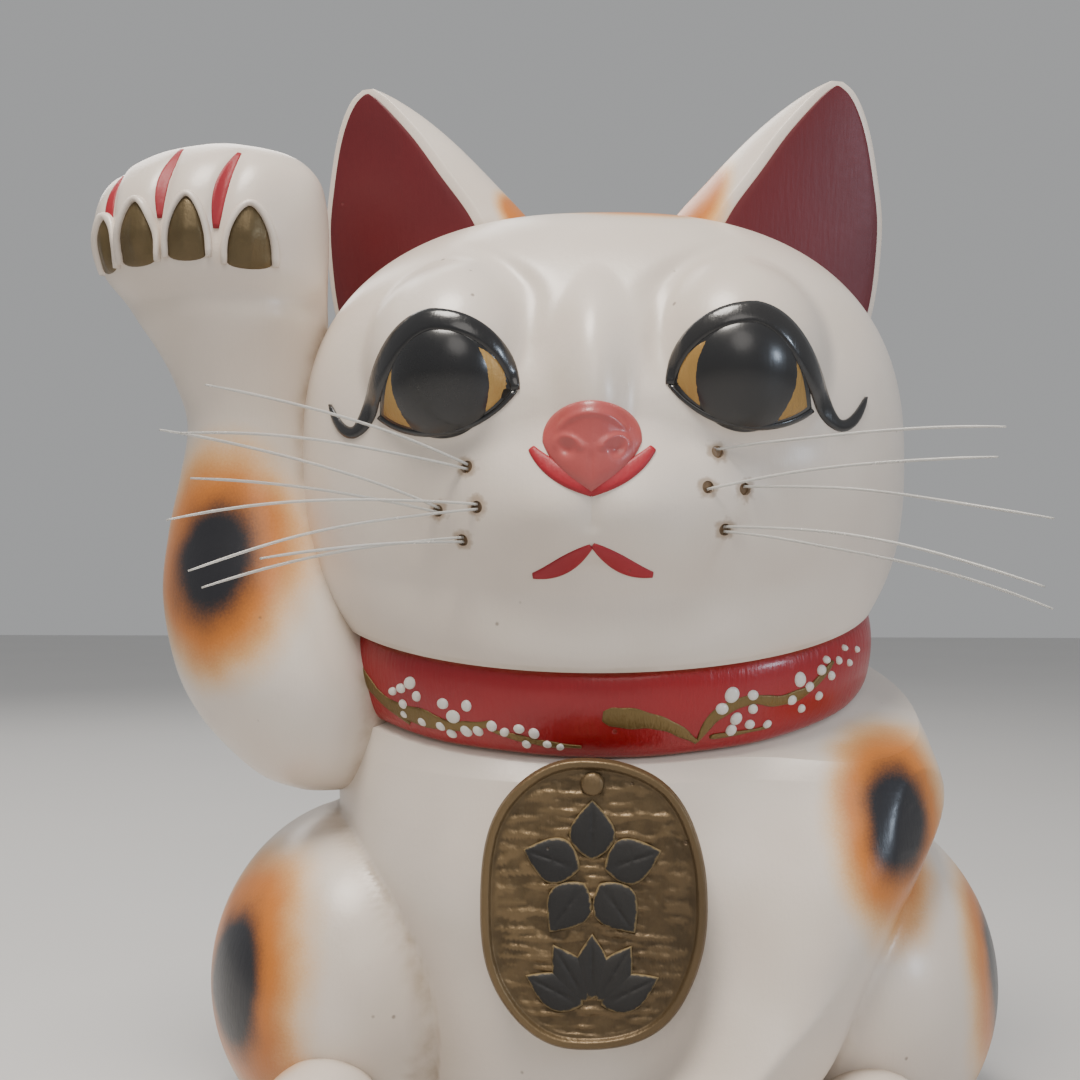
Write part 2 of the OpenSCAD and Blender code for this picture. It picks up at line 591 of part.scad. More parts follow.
module whisker_glue() {
    color("saddlebrown") for (h = WHISKER_HOLES) at_hole(h) translate([0, 0, -wall + 0.4])
        cylinder(r = whisker_hole_r - GAP, h = wall - 0.4 - GLUE_DEPTH, $fn = 24);
}

torso();
base_plate();
stopper();
head();
right_ear();
left_ear();
right_ear_lining();
left_ear_lining();
raised_right_arm();
left_foreleg();
right_haunch();
left_haunch();
right_hind_foot();
left_hind_foot();
tail();
collar();
collar_branches();
collar_blossoms();
medallion();
medallion_boss();
medallion_sprig();
nose();
nose_fold();
lips();
eye_outlines();
eye_golds();
pupils();
paw_claws();
paw_toe_lines();
foot_toe_lines();
whisker_glue();
right_whiskers();
left_whiskers();
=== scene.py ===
"""The finished look of a beckoning cat figurine, built in the frame of its CAD part.

Every surface is a formula in millimetres, evaluated on a grid of two parameters as whole
arrays, and turned into a mesh in metres. The clay members use the same forms as the part,
at a finer grid, with the modelling that a potter adds: creases, knuckles, brush strokes of
thick enamel, raised dots and hammered metal. Each class is one sub-assembly.
"""

import logging
import math
from dataclasses import dataclass, field
from enum import Enum
from functools import reduce
from typing import Callable, Iterable, Sequence

import bpy
import numpy as np
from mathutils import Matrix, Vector


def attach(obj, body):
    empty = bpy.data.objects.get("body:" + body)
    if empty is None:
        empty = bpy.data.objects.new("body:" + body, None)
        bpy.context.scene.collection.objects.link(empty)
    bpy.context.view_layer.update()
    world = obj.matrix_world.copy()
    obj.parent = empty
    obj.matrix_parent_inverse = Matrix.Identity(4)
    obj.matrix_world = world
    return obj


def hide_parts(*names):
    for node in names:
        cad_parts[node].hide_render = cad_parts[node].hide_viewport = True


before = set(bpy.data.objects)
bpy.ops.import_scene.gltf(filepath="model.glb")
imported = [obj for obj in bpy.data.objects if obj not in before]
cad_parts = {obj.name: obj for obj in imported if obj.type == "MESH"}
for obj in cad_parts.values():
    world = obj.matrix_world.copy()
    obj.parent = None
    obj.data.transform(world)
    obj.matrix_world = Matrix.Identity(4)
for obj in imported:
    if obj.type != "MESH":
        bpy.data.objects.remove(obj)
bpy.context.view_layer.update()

LOG = logging.getLogger("beckoning_cat")
MM = 0.001
TURN = 2 * math.pi
BODY = "figure"
TINY = 1e-9
FOOT_SINK = 0.4
BELLY_SINK = 0.3
FADE = (1.0, 0.0)
Colour = tuple[float, float, float]
Place = tuple[float, float, float]


# ---------------------------------------------------------------- curves and surfaces


def smooth(t: np.ndarray) -> np.ndarray:
    """Cubic step from 0 to 1.

    Args:
        t: Values, held to 0..1.

    Returns:
        t * t * (3 - 2 t) of the held values.
    """
    t = np.clip(t, 0.0, 1.0)
    return t * t * (3 - 2 * t)


def soft_max(a: np.ndarray, b: np.ndarray, k: float) -> np.ndarray:
    """Larger of two arrays, with a rounded join where they are within k of each other."""
    h = np.maximum(0.0, k - np.abs(a - b)) / k
    return np.maximum(a, b) + h * h * k / 4


def soft_min(a: np.ndarray, b: np.ndarray, k: float) -> np.ndarray:
    """Smaller of two arrays, with a rounded join where they are within k of each other."""
    return -soft_max(-a, -b, k)


def bell(*shares: np.ndarray) -> np.ndarray:
    """Bell exp(-(a^2 + b^2 + ...)) of distances given as shares of its widths."""
    return np.exp(-sum(share**2 for share in shares))


def halved(inside: np.ndarray, outside: np.ndarray, hit: Callable[[np.ndarray], np.ndarray],
           times: int) -> tuple[np.ndarray, np.ndarray]:
    """Halves the intervals that hold a skin, again and again.

    Args:
        inside: Ends of the intervals inside the piece.
        outside: Ends of the intervals outside it.
        hit: Tells which values are inside.
        times: Number of halvings.

    Returns:
        The inner and the outer ends that are left.
    """
    for _ in range(times):
        middle = (outside + inside) / 2
        within = hit(middle)
        inside, outside = np.where(within, middle, inside), np.where(within, outside, middle)
    return inside, outside


def rows_at(rows: Sequence[Sequence[float]], s: np.ndarray) -> np.ndarray:
    """Reads a table of sections with a cubic through its rows.

    Args:
        rows: Equal rows of numbers, from the first section to the last.
        s: Places along the table, from 0 to 1.

    Returns:
        An array of s's shape with one more axis, a column for each number of a row.
    """
    table = np.asarray(rows, float)
    last = len(table) - 1
    f = np.clip(s, 0.0, 1.0) * last
    i = np.minimum(np.floor(f).astype(int), last - 1)
    t = (f - i)[..., None]
    a, b = table[np.maximum(i - 1, 0)], table[i]
    c, d = table[i + 1], table[np.minimum(i + 2, last)]
    return b + t * ((c - a) / 2 + t * (a - 2.5 * b + 2 * c - 0.5 * d + t * (1.5 * (b - c) + (d - a) / 2)))


def place_of(rows: Sequence[Sequence[float]], z: np.ndarray, samples: int = 400) -> np.ndarray:
    """Finds the place along a table of sections at which its first column reads z."""
    s = np.linspace(0.0, 1.0, samples)
    return np.interp(z, rows_at(rows, s)[:, 0], s)


def bezier(points: Sequence[Sequence[float]], count: int) -> np.ndarray:
    """Cubic curve p u^3 + 3 q u^2 t + 3 r u t^2 + s t^3 with u = 1 - t.

    Args:
        points: The curve's four control points.
        count: Number of points wanted.

    Returns:
        count points along the curve.
    """
    p, q, r, s = (np.asarray(v, float) for v in points)
    t = np.linspace(0.0, 1.0, count)[:, None]
    u = 1 - t
    return p * u**3 + 3 * q * u * u * t + 3 * r * u * t * t + s * t**3


def joined(*curves: np.ndarray) -> np.ndarray:
    """Curves end to end, without the repeated joints."""
    return np.vstack([curves[0]] + [c[1:] for c in curves[1:]])


def wave_noise(p: np.ndarray, scale: float, seed: int, waves: int = 10) -> np.ndarray:
    """Smooth random field: a sum of plane waves with seeded directions and phases.

    Args:
        p: Points, in millimetres.
        scale: Typical wavelength, in millimetres.
        seed: Seed of the directions and phases.
        waves: Number of waves.

    Returns:
        Values of about -1 to 1.
    """
    rng = np.random.default_rng(seed)
    total = np.zeros(p.shape[:-1])
    for _ in range(waves):
        k = rng.normal(size=3)
        k *= TURN / scale * rng.uniform(0.6, 1.5) / np.linalg.norm(k)
        total += np.sin(p @ k + rng.uniform(0, TURN))
    return total / math.sqrt(waves * 2)


def unit(v: np.ndarray) -> np.ndarray:
    """Vectors scaled to length 1."""
    return v / np.linalg.norm(v, axis=-1, keepdims=True)


# ---------------------------------------------------------------- meshes


@dataclass
class Surface:
    """Points and faces of one closed piece, in millimetres."""

    points: np.ndarray
    faces: list[tuple[int, ...]]
    marks: dict[str, np.ndarray] = field(default_factory=dict)

    def plus(self, other: "Surface") -> "Surface":
        """Both surfaces as one, each still closed by itself.

        Args:
            other: The surface to add.

        Returns:
            One surface.
        """
        shift = len(self.points)
        faces = self.faces + [tuple(i + shift for i in f) for f in other.faces]
        marks = {k: np.concatenate([v, other.marks[k]]) for k, v in self.marks.items() if k in other.marks}
        return Surface(np.vstack([self.points, other.points]), faces, marks)


def quads(rows: int, cols: int, wrap_rows: bool = False) -> list[tuple[int, ...]]:
    """Faces of a grid whose columns close on themselves, facing out when rows run up.

    Args:
        rows: Number of rings.
        cols: Points in a ring.
        wrap_rows: Whether the rings join round as well.

    Returns:
        The faces.
    """
    i, j = np.arange(cols), np.arange(rows if wrap_rows else rows - 1)
    jj, ii = np.meshgrid(j, i, indexing="ij")
    nj, ni = (jj + 1) % rows, (ii + 1) % cols
    cells = np.stack([jj * cols + ii, jj * cols + ni, nj * cols + ni, nj * cols + ii], -1)
    return [tuple(c) for c in cells.reshape(-1, 4).tolist()]


def tube(grid: np.ndarray, marks: dict[str, np.ndarray] | None = None) -> Surface:
    """Closed surface through rings, with a fan of triangles over each end.

    Args:
        grid: Rings of points, (rows, columns, 3), that run up with turns anticlockwise.
        marks: Values per grid point, kept as attributes of the mesh.

    Returns:
        The closed surface.
    """
    rows, cols = grid.shape[:2]
    ends = np.stack([grid[0].mean(0), grid[-1].mean(0)])
    low, high = rows * cols, rows * cols + 1
    top = (rows - 1) * cols
    faces = quads(rows, cols)
    faces += [(low, (i + 1) % cols, i) for i in range(cols)]
    faces += [(high, top + i, top + (i + 1) % cols) for i in range(cols)]
    values = {k: np.concatenate([v.ravel(), [v[0].mean(), v[-1].mean()]]) for k, v in (marks or {}).items()}
    return Surface(np.vstack([grid.reshape(-1, 3), ends]), faces, values)


def ring(grid: np.ndarray, marks: dict[str, np.ndarray] | None = None) -> Surface:
    """Closed surface whose rows join round as well, such as a band.

    Args:
        grid: Rings of points.
        marks: Values per grid point.

    Returns:
        The closed surface.
    """
    rows, cols = grid.shape[:2]
    values = {k: v.ravel() for k, v in (marks or {}).items()}
    return Surface(grid.reshape(-1, 3), quads(rows, cols, True), values)


Lift = Callable[[np.ndarray, np.ndarray, np.ndarray], np.ndarray]


def pad(outline: np.ndarray, centre: Sequence[float], lift: Lift, height: float, crown: float = 0.5,
        rings: int = 9, edge: float = 0.35,
        extra: Callable[[np.ndarray], np.ndarray] | None = None) -> Surface:
    """A patch of thick paint or clay on a surface, star-shaped about its centre.

    The point at the share r of the way to the outline stands at
    height * (1 - r^6)^edge * (1 + crown * (1 - r^2)) / (1 + crown), plus any extra.

    Args:
        outline: Closed outline on the surface's own two coordinates.
        centre: The point the rings run out from.
        lift: Turns the two coordinates and a height into points.
        height: Height of the middle.
        crown: How much the middle stands above the edge.
        rings: Rings from the middle to the edge.
        edge: Roundness of the edge.
        extra: Height to add, from the flat points.

    Returns:
        The closed surface.
    """
    c = np.asarray(centre, float)
    r = np.sin(np.linspace(0.06, 1.0, rings) * math.pi / 2)[:, None, None]
    flat = c + r * (outline[None] - c)
    share = np.broadcast_to(r[..., 0], flat.shape[:2])
    h = height * np.maximum(1 - share**6, 0) ** edge * (1 + crown * (1 - share**2)) / (1 + crown)
    if extra is not None:
        h = h + extra(flat) * (1 - share**8)
    sunk = np.full(flat.shape[1], -FOOT_SINK)
    top = lift(flat[..., 0], flat[..., 1], h)
    foot = lift(flat[-1, :, 0], flat[-1, :, 1], sunk)[None]
    under = lift(*(c + 0.5 * (outline - c)).T, sunk - BELLY_SINK)[None]
    grid = np.concatenate([under, foot, top[::-1]])
    edge_mark = np.concatenate([np.ones((2, len(outline))), share[::-1]])
    return facing(tube(grid, {"edge": edge_mark}), top[0].mean(0) - foot[0].mean(0))


def facing(s: Surface, outward: np.ndarray, face: int = -1) -> Surface:
    """Turns all faces about when the given face looks against the outward direction.

    Args:
        s: The surface.
        outward: A direction in which that face has to look.
        face: Place of the face in the list, the last cap if not given.

    Returns:
        The same surface.
    """
    a, b, c = (s.points[i] for i in s.faces[face][:3])
    if np.dot(np.cross(b - a, c - b), outward) < 0:
        s.faces = [f[::-1] for f in s.faces]
    return s


def together(pieces: Iterable[Surface]) -> Surface:
    """Several closed surfaces as one."""
    return reduce(Surface.plus, pieces)


def stroke(line: np.ndarray, widths: np.ndarray, lift: Lift, height: float, across: int = 7) -> Surface:
    """A brush stroke of thick paint along a line, domed across and closed all round.

    Args:
        line: Points along the stroke, on the surface's two coordinates.
        widths: Half width at each point.
        lift: Turns the two coordinates and a height into points.
        height: Height of the stroke's crest.
        across: Points over the crest.

    Returns:
        The closed surface.
    """
    along = np.gradient(line, axis=0)
    side = unit(np.stack([-along[:, 1], along[:, 0]], -1))
    a = np.linspace(0, math.pi, across)
    over = [(math.cos(x), math.sin(x) ** 0.6 * height) for x in a]
    under = [(-0.8, -0.5), (0.8, -0.5)]
    cells = []
    for offset, rise in over + under:
        flat = line + side * widths[:, None] * offset
        cells.append(lift(flat[:, 0], flat[:, 1], np.full(len(line), float(rise))))
    grid = np.stack(cells, 1)
    halfway, crest = len(line) // 2, across // 2
    away = grid[halfway, crest] - grid[halfway, -len(under):].mean(0)
    return facing(tube(grid), away, halfway * grid.shape[1] + crest)


def linked(name: str, data: bpy.types.ID | None) -> bpy.types.Object:
    """Makes an object of some data and links it to the scene.

    Args:
        name: Name of the object.
        data: Its mesh, light or camera.

    Returns:
        The object.
    """
    obj = bpy.data.objects.new(name, data)
    bpy.context.scene.collection.objects.link(obj)
    return obj


def mesh_of(name: str, surface: Surface) -> bpy.types.Mesh:
    """Makes a mesh in metres from a surface in millimetres.

    Args:
        name: Name of the mesh.
        surface: Its points and faces.

    Returns:
        The mesh.
    """
    mesh = bpy.data.meshes.new(name)
    mesh.from_pydata((surface.points * MM).tolist(), [], surface.faces)
    return mesh


def make(name: str, surface: Surface, material: bpy.types.Material, slot: str, *nodes: str,
         smooth_angle: float | None = None) -> bpy.types.Object:
    """Builds the object, gives it its finish and ties it to the figure.

    Args:
        name: Name of the piece.
        surface: Its points, faces and attributes.
        material: Its finish.
        slot: Name of a material slot; not used.
        nodes: CAD nodes that it stands for.
        smooth_angle: Edges sharper than this stay sharp, in degrees.

    Returns:
        The object.
    """
    mesh = mesh_of(name, surface)
    for key, values in surface.marks.items():
        mesh.attributes.new(key, "FLOAT", "POINT").data.foreach_set("value", values.astype(np.float32))
    mesh.materials.append(material)
    mesh.shade_smooth()
    if smooth_angle is not None:
        mesh.set_sharp_from_angle(angle=math.radians(smooth_angle))
    obj = linked(name, mesh)
    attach(obj, BODY)
    if nodes:
        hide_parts(*nodes)
    LOG.info("%s: %d points, %d faces", name, len(mesh.vertices), len(mesh.polygons))
    return obj


# ---------------------------------------------------------------- node groups and finishes


class Tree:
    """Short ways to add nodes to a shader tree or a node group."""

    def __init__(self, tree: bpy.types.NodeTree) -> None:
        """Keeps the tree."""
        self.tree = tree

    def add(self, kind: str, **values: object) -> bpy.types.Node:
        """Adds a node; capital names are its input sockets and the others its settings.

        Args:
            kind: Type name of the node.
            values: Sockets and settings by name.

        Returns:
            The node.
        """
        node = self.tree.nodes.new(kind)
        for key, value in values.items():
            if key[0].isupper():
                self.feed(node.inputs[key.replace("_", " ")], value)
            else:
                setattr(node, key, value)
        return node

    def feed(self, socket: bpy.types.NodeSocket, value: object) -> None:
        """Links a socket, or sets the socket's own value.

        Args:
            socket: The input socket.
            value: A socket or a plain value.
        """
        if isinstance(value, bpy.types.NodeSocket):
            self.tree.links.new(value, socket)
        elif isinstance(value, tuple) and len(value) == 3 and socket.type == "RGBA":
            socket.default_value = (*value, 1.0)
        else:
            socket.default_value = value

    def math(self, operation: str, a: object, b: object = 0.0, clamp: bool = False) -> bpy.types.NodeSocket:
        """One step of arithmetic.

        Args:
            operation: Name of the step.
            a: First value or socket.
            b: Second value or socket.
            clamp: Whether the result is held to 0..1.

        Returns:
            The result.
        """
        node = self.tree.nodes.new("ShaderNodeMath")
        node.operation, node.use_clamp = operation, clamp
        self.feed(node.inputs[0], a)
        self.feed(node.inputs[1], b)
        return node.outputs[0]

    def vector(self, operation: str, a: object, b: object) -> bpy.types.NodeSocket:
        """One step of vector arithmetic.

        Args:
            operation: Name of the step.
            a: First value or socket.
            b: Second value or socket.

        Returns:
            The result.
        """
        node = self.tree.nodes.new("ShaderNodeVectorMath")
        node.operation = operation
        self.feed(node.inputs[0], a)
        self.feed(node.inputs[1], b)
        return node.outputs["Value"] if operation in ("LENGTH", "DISTANCE") else node.outputs["Vector"]

    def remap(self, value: object, low: float, high: float,
              out: tuple[float, float] = (0.0, 1.0)) -> bpy.types.NodeSocket:
        """Smooth step of a value between two limits.

        Args:
            value: A socket or a plain value.
            low: Value where the step starts.
            high: Value where the step ends.
            out: Values before and after the step.

        Returns:
            The stepped value.
        """
        node = self.tree.nodes.new("ShaderNodeMapRange")
        node.interpolation_type = "SMOOTHSTEP"
        for socket, v in zip(node.inputs, (value, low, high, *out)):
            self.feed(socket, v)
        return node.outputs[0]

    def mix(self, factor: object, a: object, b: object) -> bpy.types.NodeSocket:
        """Mix of two colours.

        Args:
            factor: Share of the second colour.
            a: First value or socket.
            b: Second value or socket.

        Returns:
            The mixed colour.
        """
        node = self.tree.nodes.new("ShaderNodeMix")
        node.data_type = "RGBA"
        self.feed(node.inputs["Factor"], factor)
        self.feed(node.inputs[6], a)
        self.feed(node.inputs[7], b)
        return node.outputs[2]

    def noise(self, vector: object, scale: float, detail: float = 3.0,
              rough: float = 0.55) -> bpy.types.NodeSocket:
        """Fractal noise of a vector in metres."""
        node = self.add("ShaderNodeTexNoise", Vector=vector, Scale=scale, Detail=detail, Roughness=rough)
        return node.outputs[0]


class Sort(Enum):
    """Kinds of socket that the groups use."""

    VALUE = "NodeSocketFloat"
    VECTOR = "NodeSocketVector"


def new_group(name: str, inputs: dict[str, Sort],
              outputs: dict[str, Sort]) -> tuple[Tree, bpy.types.Node, bpy.types.Node]:
    """Starts a shader node group with named sockets.

    Args:
        name: Name of the group.
        inputs: Kinds of the inputs, by name.
        outputs: Kinds of the outputs, by name.

    Returns:
        The group's tree, its input node and its output node.
    """
    group = bpy.data.node_groups.new(name, "ShaderNodeTree")
    for key, sort in inputs.items():
        group.interface.new_socket(key, in_out="INPUT", socket_type=sort.value)
    for key, sort in outputs.items():
        group.interface.new_socket(key, in_out="OUTPUT", socket_type=sort.value)
    tree = Tree(group)
    return tree, tree.add("NodeGroupInput"), tree.add("NodeGroupOutput")


def airbrush_group() -> bpy.types.NodeTree:
    """A sprayed oval: its dark heart, its colour and its soft fringe, as masks.

    Returns:
        The group.
    """
    inputs = {"Vector": Sort.VECTOR, "Centre": Sort.VECTOR, "Radii": Sort.VECTOR, "Heart": Sort.VALUE}
    outputs = {"Heart": Sort.VALUE, "Colour": Sort.VALUE, "Fringe": Sort.VALUE}
    tree, start, end = new_group("Airbrush oval", inputs, outputs)
    gap = tree.vector("SUBTRACT", start.outputs["Vector"], start.outputs["Centre"])
    reach = tree.vector("LENGTH", tree.vector("DIVIDE", gap, start.outputs["Radii"]), (0, 0, 0))
    drift = tree.noise(start.outputs["Vector"], 38.0, 2.0)
    grain = tree.noise(start.outputs["Vector"], 1600.0, 1.0)
    wobble = tree.math("MULTIPLY", tree.math("SUBTRACT", drift, 0.5), 0.36)
    spray = tree.math("MULTIPLY", tree.math("SUBTRACT", grain, 0.5), 0.08)
    r = tree.math("ADD", tree.math("ADD", reach, wobble), spray)
    inner = tree.math("DIVIDE", r, start.outputs["Heart"])
    tree.feed(end.inputs["Heart"], tree.remap(inner, 0.72, 1.42, FADE))
    tree.feed(end.inputs["Colour"], tree.remap(r, 0.62, 1.0, FADE))
    tree.feed(end.inputs["Fringe"], tree.remap(r, 0.8, 1.2, FADE))
    return tree.tree


def aged_group() -> bpy.types.NodeTree:
    """Brushed, handled paint: broad tone, dust specks, pits, roughness and height.

    Returns:
        The group.
    """
    tree, start, end = new_group(
        "Aged paint", {"Vector": Sort.VECTOR, "Brush": Sort.VALUE},
        {"Tone": Sort.VALUE, "Specks": Sort.VALUE, "Roughness": Sort.VALUE, "Height": Sort.VALUE})
    v = start.outputs["Vector"]
    broad = tree.noise(v, 14.0, 3.0)
    fine = tree.noise(v, 420.0, 3.0, 0.6)
    streak_at = tree.vector("MULTIPLY", v, (1.0, 1.0, 0.12))
    streaks = tree.noise(streak_at, 900.0, 2.0)
    dots = tree.add("ShaderNodeTexVoronoi", Vector=v, Scale=95.0, Randomness=1.0)
    rare = tree.math("GREATER_THAN", tree.noise(v, 61.0, 0.0), 0.57)
    speck = tree.math("MULTIPLY", tree.remap(dots.outputs["Distance"], 0.03, 0.075, FADE), rare)
    tree.feed(end.inputs["Tone"], broad)
    tree.feed(end.inputs["Specks"], speck)
    patchy = tree.math("MULTIPLY", tree.math("SUBTRACT", broad, 0.5), 0.22)
    tree.feed(end.inputs["Roughness"], tree.math("ADD", patchy, tree.math("MULTIPLY", fine, 0.09)))
    brushed = tree.math("MULTIPLY", streaks, start.outputs["Brush"])
    height = tree.math("SUBTRACT", tree.math("ADD", tree.math("MULTIPLY", fine, 0.5), brushed),
                       tree.math("MULTIPLY", speck, 1.5))
    tree.feed(end.inputs["Height"], height)
    return tree.tree


def stain_group() -> bpy.types.NodeTree:
    """A blotch round a point, such as glue that ran from a drilled hole.

    Returns:
        The group.
    """
    inputs = {"Vector": Sort.VECTOR, "Centre": Sort.VECTOR, "Radius": Sort.VALUE}
    tree, start, end = new_group("Stain", inputs, {"Mask": Sort.VALUE})
    gap = tree.vector("DISTANCE", start.outputs["Vector"], start.outputs["Centre"])
    uneven = tree.math("MULTIPLY", tree.noise(start.outputs["Vector"], 420.0, 2.0), 1.3)
    share = tree.math("DIVIDE", gap, start.outputs["Radius"])
    r = tree.math("MULTIPLY", share, tree.math("ADD", uneven, 0.35))
    tree.feed(end.inputs["Mask"], tree.remap(r, 0.55, 1.05, FADE))
    return tree.tree


@dataclass(frozen=True)
class Oval:
    """A sprayed oval: place and radii in millimetres, and the share that is its dark heart."""

    centre: tuple[float, float, float]
    radii: tuple[float, float, float]
    heart: float = 0.42


# Colours laid over the crease mark: dirt and painted shade on paint, tarnish and painted shade on metal.
GRIME_AND_SHADE = (0.3, 0.2, 0.1)
TARNISH_AND_SHADE = (0.03, 0.02, 0.01)
GLUE_STAIN = (0.28, 0.17, 0.08)
GLUE_STAIN_R = 3.3
SPRAY_YELLOW = (0.8, 0.42, 0.1)
SPRAY_ORANGE = (0.55, 0.16, 0.012)
SPRAY_BLACK = (0.012, 0.012, 0.016)
RELIEF_DEPTH = 0.0006


def metres(place: Place) -> Place:
    """A place in millimetres, in metres."""
    return tuple(v * MM for v in place)


@dataclass(frozen=True)
class Paint:
    """A hand-applied paint."""

    name: str
    colour: Colour
    shade: Colour
    roughness: float = 0.35
    coat: float = 0.0
    coat_roughness: float = 0.15
    metallic: float = 0.0
    bump: float = 0.12
    brush: float = 0.4
    speck: Colour = (0.12, 0.08, 0.05)
    speck_share: float = 0.6
    worn: Colour | None = None
    transmission: float = 0.0
    ovals: tuple[Oval, ...] = ()
    stains: tuple[tuple[float, float, float], ...] = ()

    def build(self, groups: dict[str, bpy.types.NodeTree]) -> bpy.types.Material:
        """Makes the material from the shared groups.

        Args:
            groups: The shared node groups, by name.

        Returns:
            The material.
        """
        material = bpy.data.materials.new(self.name)
        material.use_nodes = True
        tree = Tree(material.node_tree)
        shader = material.node_tree.nodes["Principled BSDF"]
        where = tree.add("ShaderNodeTexCoord").outputs["Object"]
        aged = tree.add("ShaderNodeGroup", node_tree=groups["aged"], Vector=where, Brush=self.brush)
        colour = tree.mix(tree.remap(aged.outputs["Tone"], 0.3, 0.72), self.colour, self.shade)
        # The crease mark darkens the colour with dirt and painted shade.
        colour = self.soiled_and_shaded(tree, where, self.rubbed(tree, where, colour))
        for oval in self.ovals:
            colour = self.spray(tree, groups["airbrush"], where, oval, colour)
        for stain in self.stains:
            blot = tree.add("ShaderNodeGroup", node_tree=groups["stain"], Vector=where,
                            Centre=metres(stain), Radius=GLUE_STAIN_R * MM)
            colour = tree.mix(tree.math("MULTIPLY", blot.outputs["Mask"], 0.6), colour, GLUE_STAIN)
        colour = tree.mix(tree.math("MULTIPLY", aged.outputs["Specks"], self.speck_share), colour, self.speck)
        tree.feed(shader.inputs["Base Color"], colour)
        rough = tree.math("ADD", aged.outputs["Roughness"], self.roughness - 0.04, clamp=True)
        tree.feed(shader.inputs["Roughness"], rough)
        for socket, value in (("Metallic", self.metallic), ("Coat Weight", self.coat),
                              ("Coat Roughness", self.coat_roughness),
                              ("Transmission Weight", self.transmission)):
            shader.inputs[socket].default_value = value
        relief = tree.add("ShaderNodeBump", Strength=self.bump, Distance=RELIEF_DEPTH,
                          Height=aged.outputs["Height"])
        tree.feed(shader.inputs["Normal"], relief.outputs[0])
        return material

    def rubbed(self, tree: Tree, where: bpy.types.NodeSocket,
               colour: bpy.types.NodeSocket) -> bpy.types.NodeSocket:
        """Lets the metal show along a ragged edge, where the paint has a worn colour.

        Args:
            tree: The material's tree.
            where: Object coordinates.
            colour: Colour so far.

        Returns:
            The new colour.
        """
        if self.worn is None:
            return colour
        edge = tree.add("ShaderNodeAttribute", attribute_name="edge").outputs["Fac"]
        ragged = tree.math("ADD", edge, tree.math("MULTIPLY", tree.noise(where, 700.0), 0.22))
        return tree.mix(tree.remap(ragged, 1.0, 1.1), colour, self.worn)

    def soiled_and_shaded(self, tree: Tree, where: bpy.types.NodeSocket,
               colour: bpy.types.NodeSocket) -> bpy.types.NodeSocket:
        """Darkens the creases and the joins between parts with dirt and painted shade, or with tarnish and
        painted shade on metal.

        Args:
            tree: The material's tree.
            where: Object coordinates.
            colour: Colour so far.

        Returns:
            The new colour.
        """
        crease = tree.add("ShaderNodeAttribute", attribute_name="crease").outputs["Fac"]
        uneven = tree.remap(tree.noise(where, 160.0), 0.25, 0.75, (0.2, 0.65))
        return tree.mix(tree.math("MULTIPLY", crease, uneven), colour, TARNISH_AND_SHADE if self.metallic else GRIME_AND_SHADE)

    @staticmethod
    def spray(tree: Tree, group: bpy.types.NodeTree, where: bpy.types.NodeSocket, oval: Oval,
              under: bpy.types.NodeSocket) -> bpy.types.NodeSocket:
        """Sprays one oval over a colour: yellow fringe, orange, brown, blue-black heart.

        Args:
            tree: The material's tree.
            group: The airbrush group.
            where: Object coordinates.
            oval: The oval.
            under: Colour so far.

        Returns:
            The new colour.
        """
        node = tree.add("ShaderNodeGroup", node_tree=group, Vector=where, Centre=metres(oval.centre),
                        Radii=metres(oval.radii))
        tree.feed(node.inputs["Heart"], max(oval.heart, 0.01))
        colour = tree.mix(tree.math("MULTIPLY", node.outputs["Fringe"], 0.75), under, SPRAY_YELLOW)
        colour = tree.mix(tree.math("MULTIPLY", node.outputs["Colour"], 0.94), colour, SPRAY_ORANGE)
        if oval.heart > 0:
            colour = tree.mix(node.outputs["Heart"], colour, SPRAY_BLACK)
        return colour


# ---------------------------------------------------------------- shared forms


@dataclass
class Neck:
    """The leaning frame of the neck, with an oval section."""

    tilt: float = math.radians(17)
    centre: tuple[float, float, float] = (0.0, -3.7, 133.8)
    half_w: float = 70.0
    half_d: float = 56.0
    band_h: float = 24.5
    band_t: float = 8.5
    ledge: float = 12.85

    def lean(self, p: np.ndarray) -> np.ndarray:
        """Turns points of the upright frame forward by the neck's lean."""
        c, s = math.cos(self.tilt), math.sin(self.tilt)
        return np.stack([p[..., 0], p[..., 1] * c - p[..., 2] * s, p[..., 1] * s + p[..., 2] * c], -1)

    def point(self, u: np.ndarray, a: np.ndarray, b: np.ndarray, level: np.ndarray) -> np.ndarray:
        """Point at the turn u of an oval of half axes a and b at a level along the neck."""
        a, b, level, u = np.broadcast_arrays(a, b, level, u)
        return np.asarray(self.centre) + self.lean(np.stack([a * np.cos(u), b * np.sin(u), level], -1))

    @property
    def edge_w(self) -> float:
        """Half width at the collar's outside."""
        return self.half_w + self.band_t

    @property
    def edge_d(self) -> float:
        """Half depth at the collar's outside."""
        return self.half_d + self.band_t


@dataclass(frozen=True)
class Egg:
    """An ellipsoid: its centre and half axes."""

    centre: Place
    half: Place

    def reach(self, d: np.ndarray) -> np.ndarray:
        """Far crossing of rays from the origin with the egg, or 0 where they miss.

        It is the larger root of |t d - centre| = 1, measured in half axes.

        Args:
            d: Unit directions.

        Returns:
            Distances along the rays.
        """
        half = np.asarray(self.half, float)
        dn, en = d / half, np.asarray(self.centre, float) / half
        a, b = (dn * dn).sum(-1), dn @ en
        k = b * b - a * (en @ en - 1)
        return np.where(k > 0, (b + np.sqrt(np.maximum(k, 0))) / a, 0.0)

    def gap(self, p: np.ndarray) -> np.ndarray:
        """Approximate distance of points from the egg, negative inside: size (size - 1) / slope.

        Args:
            p: Points, in millimetres.

        Returns:
            Distances.
        """
        half = np.asarray(self.half, float)
        q = (p - np.asarray(self.centre, float)) / half
        size = np.linalg.norm(q, axis=-1) + TINY
        return size * (size - 1) / (np.linalg.norm(q / half, axis=-1) + TINY)


